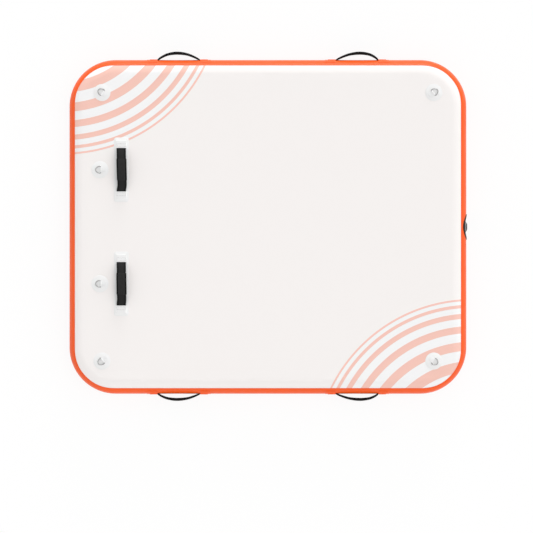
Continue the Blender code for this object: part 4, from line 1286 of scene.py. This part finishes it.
def make_valve_body():
    bm = bmesh.new()
    flange_edge = ((-FLANGE_EDGE, VALVE_FLANGE_RADIUS), (0, VALVE_FLANGE_RADIUS - FLANGE_EDGE))
    groove = ((0, 0.0325), (-0.0005, 0.0320), (-0.0005, 0.0305), (0, 0.0300))
    lip = ((NECK - LIP_EDGE, NECK_RADIUS), (NECK - LIP_EDGE, NECK_RADIUS + LIP), (NECK, NECK_RADIUS + LIP))
    seat = ((-BARREL + 0.008, MOUTH_RADIUS), (-BARREL + 0.004, SEAT_RADIUS), (-BARREL, SEAT_RADIUS))
    turn_outline(bm, (
        (-FLANGE, VALVE_FLANGE_RADIUS), *flange_edge, *groove, (0, NECK_RADIUS), *lip,
        (NECK, MOUTH_RADIUS), *seat, (-BARREL, BARREL_RADIUS), (-FLANGE, BARREL_RADIUS),
    ))
    turn_outline(bm, (
        (-SPIDER_DEPTH, HUB_RADIUS), (-SPIDER_DEPTH + SPIDER, HUB_RADIUS),
        (-SPIDER_DEPTH + SPIDER, STEM_HOLE), (-SPIDER_DEPTH, STEM_HOLE),
    ))
    for number in range(3):
        reach = MOUTH_RADIUS + 0.0005 - SPOKE_START
        size = Matrix.Diagonal((SPIDER, SPOKE, reach, 1))
        out = Matrix.Translation((0, 0, -SPOKE_START - reach / 2))
        turn = Matrix.Rotation(2 * pi * number / 3, 4, "X")
        place = Matrix.Translation((FLANGE_FACE - SPIDER_DEPTH + SPIDER / 2, 0, MIDDLE))
        bmesh.ops.create_cube(bm, size=1, matrix=place @ turn @ out @ size)
    finish_piece("valve_housing", bm, valve_grey, "platform", ["valve_body"], bevel=0.0002)


make_valve_body()

# %% [markdown]
# ## The cap
# The cap closes the mouth with a skirt and is turned by a bar across its face. Its rim has flutes for
# wet fingers: every third face of the rim is inset and pushed in.

# %% Valve cap
TETHER = 0.0012
CAP_SEAT = NECK + GAP + TETHER + GAP
CAP_RADIUS, CAP_HEAD, CAP_GRIP = 0.018, 0.0014, 0.0018
CAP_EDGE, CAP_DISH, DISH_RADIUS = 0.0004, 0.0003, 0.013
SKIRT, SKIRT_WALL = 0.0045, 0.003
FLUTE_SPACING, FLUTE_DEPTH, FLUTE_MARGIN = 3, 0.00035, 0.00008
BAR_WIDTH, BAR_LENGTH, BAR_CORNER = 0.006, 0.028, 0.0026


def on_flute(face):
    centre = face.calc_center_median()
    if hypot(centre.y, centre.z - MIDDLE) < CAP_RADIUS - 0.0001 or centre.x < FLANGE_FACE + CAP_SEAT:
        return False
    turn = Vector((1, 0)).angle_signed(Vector((centre.y, centre.z - MIDDLE)), 0.0) % (2 * pi)
    return round(TURN_STEPS * turn / (2 * pi) - 0.5) % FLUTE_SPACING == 0


def make_cap():
    skirt = MOUTH_RADIUS - GAP
    top, under = CAP_SEAT + CAP_HEAD, CAP_SEAT - CAP_EDGE
    bm = bmesh.new()
    turn_outline(bm, (
        (top - CAP_DISH, 0), (top - CAP_DISH, DISH_RADIUS - 0.0005), (top, DISH_RADIUS),
        (top, CAP_RADIUS - CAP_EDGE), (top - CAP_EDGE, CAP_RADIUS), (CAP_SEAT, CAP_RADIUS),
        (CAP_SEAT, skirt), (-SKIRT, skirt), (-SKIRT, skirt - SKIRT_WALL), (under, skirt - SKIRT_WALL),
        (under, 0),
    ))
    flutes = [face for face in bm.faces if on_flute(face)]
    bmesh.ops.inset_individual(
        bm, faces=flutes, thickness=FLUTE_MARGIN, depth=-FLUTE_DEPTH, use_even_offset=True
    )
    bar = cut_sheet(BAR_WIDTH, BAR_LENGTH, BAR_CORNER, 8)
    thicken(bar, CAP_GRIP + CAP_EDGE, CAP_EDGE)
    turned = Matrix.Rotation(pi / 2, 4, "Y") @ Matrix.Rotation(pi, 4, "Z")
    place = Matrix.Translation((FLANGE_FACE + top - CAP_EDGE, 0, MIDDLE))
    bmesh.ops.transform(bar, matrix=place @ turned, verts=bar.verts)
    join(bm, bar)
    print("flutes on the cap's rim:", len(flutes))
    finish_piece("valve_lid", bm, valve_black, "valve_cap", ["valve_cap"], bevel=0.00015)


make_cap()

# %% [markdown]
# ## The cap's tether
# A soft moulded strap keeps the cap from getting lost: a ring round the neck, a loop under the cap's
# head and a bow between them, which straightens when the cap is pulled. The ring stays on the
# platform and the loop goes with the cap.

# %% Tether
TETHER_RING, TETHER_LOOP = 0.003, 0.004
TETHER_WIDTH, TETHER_LAP = 0.008, 0.001
BOW_DEPTH, BOW_FOOT = 0.009, 0.12


def make_tether():
    neck, out, loop = NECK_RADIUS + GAP, NECK_RADIUS + GAP + TETHER_RING, MOUTH_RADIUS + TETHER_LOOP
    low, high = GAP + TETHER / 2, NECK + GAP + TETHER / 2
    bm = bmesh.new()
    for start, inner, outer in ((GAP, neck, out), (NECK + GAP, MOUTH_RADIUS, loop)):
        end = start + TETHER
        turn_outline(bm, ((start, inner), (start, outer), (end, outer), (end, inner)))
    bow = cut_sheet(1.0, TETHER_WIDTH)
    score(bow, [share - 0.5 for share in spaced(0, 1, 0.05)[1:-1]], (1, 0, 0))
    thicken(bow, TETHER)
    bmesh.ops.translate(bow, verts=bow.verts, vec=(0.5, 0, -TETHER / 2))

    def path(share):
        if share < BOW_FOOT:
            return Vector((out + TETHER_LAP * (share / BOW_FOOT - 1), low))
        if share > 1 - BOW_FOOT:
            back = (share - 1 + BOW_FOOT) / BOW_FOOT
            return Vector((out + (loop - TETHER_LAP - out) * back, high))
        turn = pi * (share - BOW_FOOT) / (1 - 2 * BOW_FOOT)
        return Vector((out + BOW_DEPTH * sin(turn), (low + high) / 2 - (high - low) / 2 * cos(turn)))

    def lay(x, y, z):
        along = path(x + 0.01) - path(x - 0.01)
        point = path(x) + Vector((-along.y, along.x)).normalized() * z
        return Vector((FLANGE_FACE + point.y, y, MIDDLE - point.x))

    bend(bow, lay)
    join(bm, bow)
    tether = finish_piece("valve_leash", bm, valve_black, None, ["valve_tether"])
    start = (FLANGE_FACE + GAP + TETHER, 0, MIDDLE)
    end = (FLANGE_FACE + NECK, 0, MIDDLE)
    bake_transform(tether)


make_tether()

# %% [markdown]
# ## The plunger's spring
# The spring sits between the spider and the push button and holds the valve shut. It is one round
# wire, wound on a helix: each point turns on and climbs a little. When the button is pressed, the
# spring's outer end goes with it and its inner end stays on the spider. So the piece rides with the
# plunger.

# %% Plunger spring
SPRING_WIRE, SPRING_RADIUS, SPRING_TURNS = 0.0009, 0.0042, 4
POINTS_PER_TURN = 24
BUTTON_INNER = -0.008


def make_spring():
    inner, outer = -SPIDER_DEPTH + SPIDER + GAP, BUTTON_INNER - GAP
    count = POINTS_PER_TURN * SPRING_TURNS
    points = []
    for step in range(count + 1):
        turn = 2 * pi * SPRING_TURNS * step / count
        along = inner + SPRING_WIRE / 2 + (outer - inner - SPRING_WIRE) * step / count
        side, up = SPRING_RADIUS * cos(turn), SPRING_RADIUS * sin(turn)
        points.append((FLANGE_FACE + along, side, MIDDLE + up))
    bm = wire_mesh("spring_wire", points, SPRING_WIRE / 2, False)
    spring = finish_piece(
        "plunger_spring", bm, stainless_steel, "valve_plunger", ["valve_spring"], sharp=80
    )
    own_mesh(spring)


make_spring()

# %% [markdown]
# ## Pieces inside the chamber
# The inner wall, its two tapes, the drop-stitch core and most of the valve's works can't be seen while
# the platform is blown up. Their model shapes are kept, and they already carry the finishes made above.

# %% List the inner pieces
INNER = (
    "inner_side_wall", "inner_seam_tape_top", "inner_seam_tape_bottom", "drop_stitch_core", "valve_nut",
    "valve_stem", "valve_button", "valve_stem_seal",
)
for name in INNER:
    print(name, "keeps its model shape, in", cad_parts[name].data.materials[0].name)

# %% [markdown]
# ## White for the camera, plain light for the object
# The photograph is a product picture on a pure white page. If the page itself lit the object that
# strongly, the deck would lose its tone. So the floor and the world are white for the rays that are
# seen, which are the camera's rays and mirror reflections, and plainer for the rays that carry light.

# %% Rays that are seen
def seen_rays(lit):
    """1 for rays that are seen, 0 for rays that carry light, in a material or in the world."""
    ray = add_node(lit, "ShaderNodeLightPath")
    seen = ray.outputs["Is Camera Ray"]
    for name in ("Is Glossy Ray", "Is Transmission Ray"):
        seen = combine(lit, "MAXIMUM", seen, ray.outputs[name])
    return seen


def mix_shaders(lit, share, first, second, output):
    mix = add_node(lit, "ShaderNodeMixShader", {0: share, 1: first.outputs[0], 2: second.outputs[0]})
    lit.node_tree.links.new(mix.outputs[0], lit.node_tree.nodes[output].inputs["Surface"])


# %% [markdown]
# ## The floor
# The floor is one large sheet just below the underside. For seen rays it glows almost white, and the
# rest of its colour comes from the light that falls on it, so that the platform's soft shadow stays.

# %% Floor
FLOOR_SIZE = 30.0
FLOOR_DROP = 0.0006
FLOOR_GLOW = 0.9
PLAIN, PAGE = (0.82, 0.82, 0.82), (0.99, 0.99, 0.985)
bm = bmesh.new()
bmesh.ops.create_grid(bm, x_segments=1, y_segments=1, size=FLOOR_SIZE / 2)
bmesh.ops.translate(bm, verts=bm.verts, vec=(0, 0, -FLOOR_DROP))
mesh = bpy.data.meshes.new("floor")
bm.to_mesh(mesh)
bm.free()
floor = bpy.data.objects.new("floor", mesh)
bpy.context.scene.collection.objects.link(floor)
floor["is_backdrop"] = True
floor_white = new_finish("floor_white", PLAIN, 0.9)
mesh.materials.append(floor_white)
seen = seen_rays(floor_white)
shader_input(floor_white, "Base Color", tone(floor_white, seen, PLAIN, PAGE))
surface = floor_white.node_tree.nodes["Principled BSDF"]
glow = add_node(floor_white, "ShaderNodeEmission", {"Strength": 1.0})
share = combine(floor_white, "MULTIPLY", seen, FLOOR_GLOW)
mix_shaders(floor_white, share, surface, glow, "Material Output")
print("floor glow for seen rays:", FLOOR_GLOW)

# %% [markdown]
# ## The studio
# A studio's white walls are lit more brightly than its ceiling, so the world grows brighter towards
# the horizon, and a little towards the front right. That is why the orange side is as bright as the
# deck in the photograph, although it faces sideways. The brightness is one dot product of the ray's
# way with a slope: up is darker, and the brighter side adds a little.

# %% World
CEILING, WALLS = 0.65, 0.61
BRIGHTER_SIDE = (0.13, -0.10)
world = bpy.data.worlds.new("studio")
bpy.context.scene.world = world
world.use_nodes = True
inputs = {0: object_place(world), 1: (*BRIGHTER_SIDE, -WALLS)}
slope = add_node(world, "ShaderNodeVectorMath", inputs, operation="DOT_PRODUCT")
level = combine(world, "ADD", slope.outputs["Value"], CEILING + WALLS)
fill = add_node(world, "ShaderNodeBackground", {"Color": (1.0, 1.0, 1.0, 1), "Strength": level})
backdrop = add_node(world, "ShaderNodeBackground", {"Color": (1.0, 1.0, 1.0, 1)})
mix_shaders(world, seen_rays(world), fill, backdrop, "World Output")
print("light from straight above", CEILING, "and from the horizon", CEILING + WALLS)

# %% [markdown]
# ## The lamps
# Two lamps as wide as softboxes add the direction: a high one on the right for the straps' soft
# shadows, and a low one behind the back edge, which gives the band along that edge its pale shine and
# only grazes the deck. Sun lamps are used, so the light is the same at both ends of the platform.

# %% Lamps
def add_lamp(name, azimuth, elevation, width, energy):
    lamp = bpy.data.lights.new(name, "SUN")
    lamp.angle = radians(width)
    lamp.energy = energy
    holder = bpy.data.objects.new(name, lamp)
    way = Vector((cos(radians(elevation)), 0, sin(radians(elevation))))
    way.rotate(Matrix.Rotation(radians(azimuth), 3, "Z"))
    holder.rotation_euler = way.to_track_quat("Z", "Y").to_euler()
    bpy.context.scene.collection.objects.link(holder)
    print(name, "shines down at", elevation, "degrees")


add_lamp("right_softbox", azimuth=0, elevation=66, width=30, energy=0.33)
add_lamp("low_softbox", azimuth=82, elevation=6, width=22, energy=1.85)

# %% [markdown]
# ## Camera
# The photograph looks straight down, from far away: both long sides show the same strip of band. The
# frame is 2.66 m wide at the height where the platform is widest, halfway up its side, and the
# frame's middle lies a little below the platform's.

# %% Camera
FRAME_WIDTH = 2.66
FRAME_CENTRE = (-0.007, -0.1976)
HEIGHT = 20.0
camera = bpy.data.cameras.new("camera")
camera.sensor_width = 36.0
camera.lens = camera.sensor_width * (HEIGHT - MIDDLE) / FRAME_WIDTH
camera.clip_end = 100.0
eye = bpy.data.objects.new("camera", camera)
eye.location = (*FRAME_CENTRE, HEIGHT)
bpy.context.scene.collection.objects.link(eye)
bpy.context.scene.camera = eye
bpy.context.scene.view_settings.view_transform = "Standard"
print("lens", round(camera.lens, 1), "mm")

# %% [markdown]
# ## Last measures
# The dressed object has to keep the model's size. Both boxes are printed, so that they can be
# compared.

# %% Measure and finish
dressed_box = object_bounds()
boxes = {"cad": [list(corner) for corner in cad_box], "dressed": [list(corner) for corner in dressed_box]}
for name, box in boxes.items():
    print(name, [[round(v, 4) for v in corner] for corner in box])
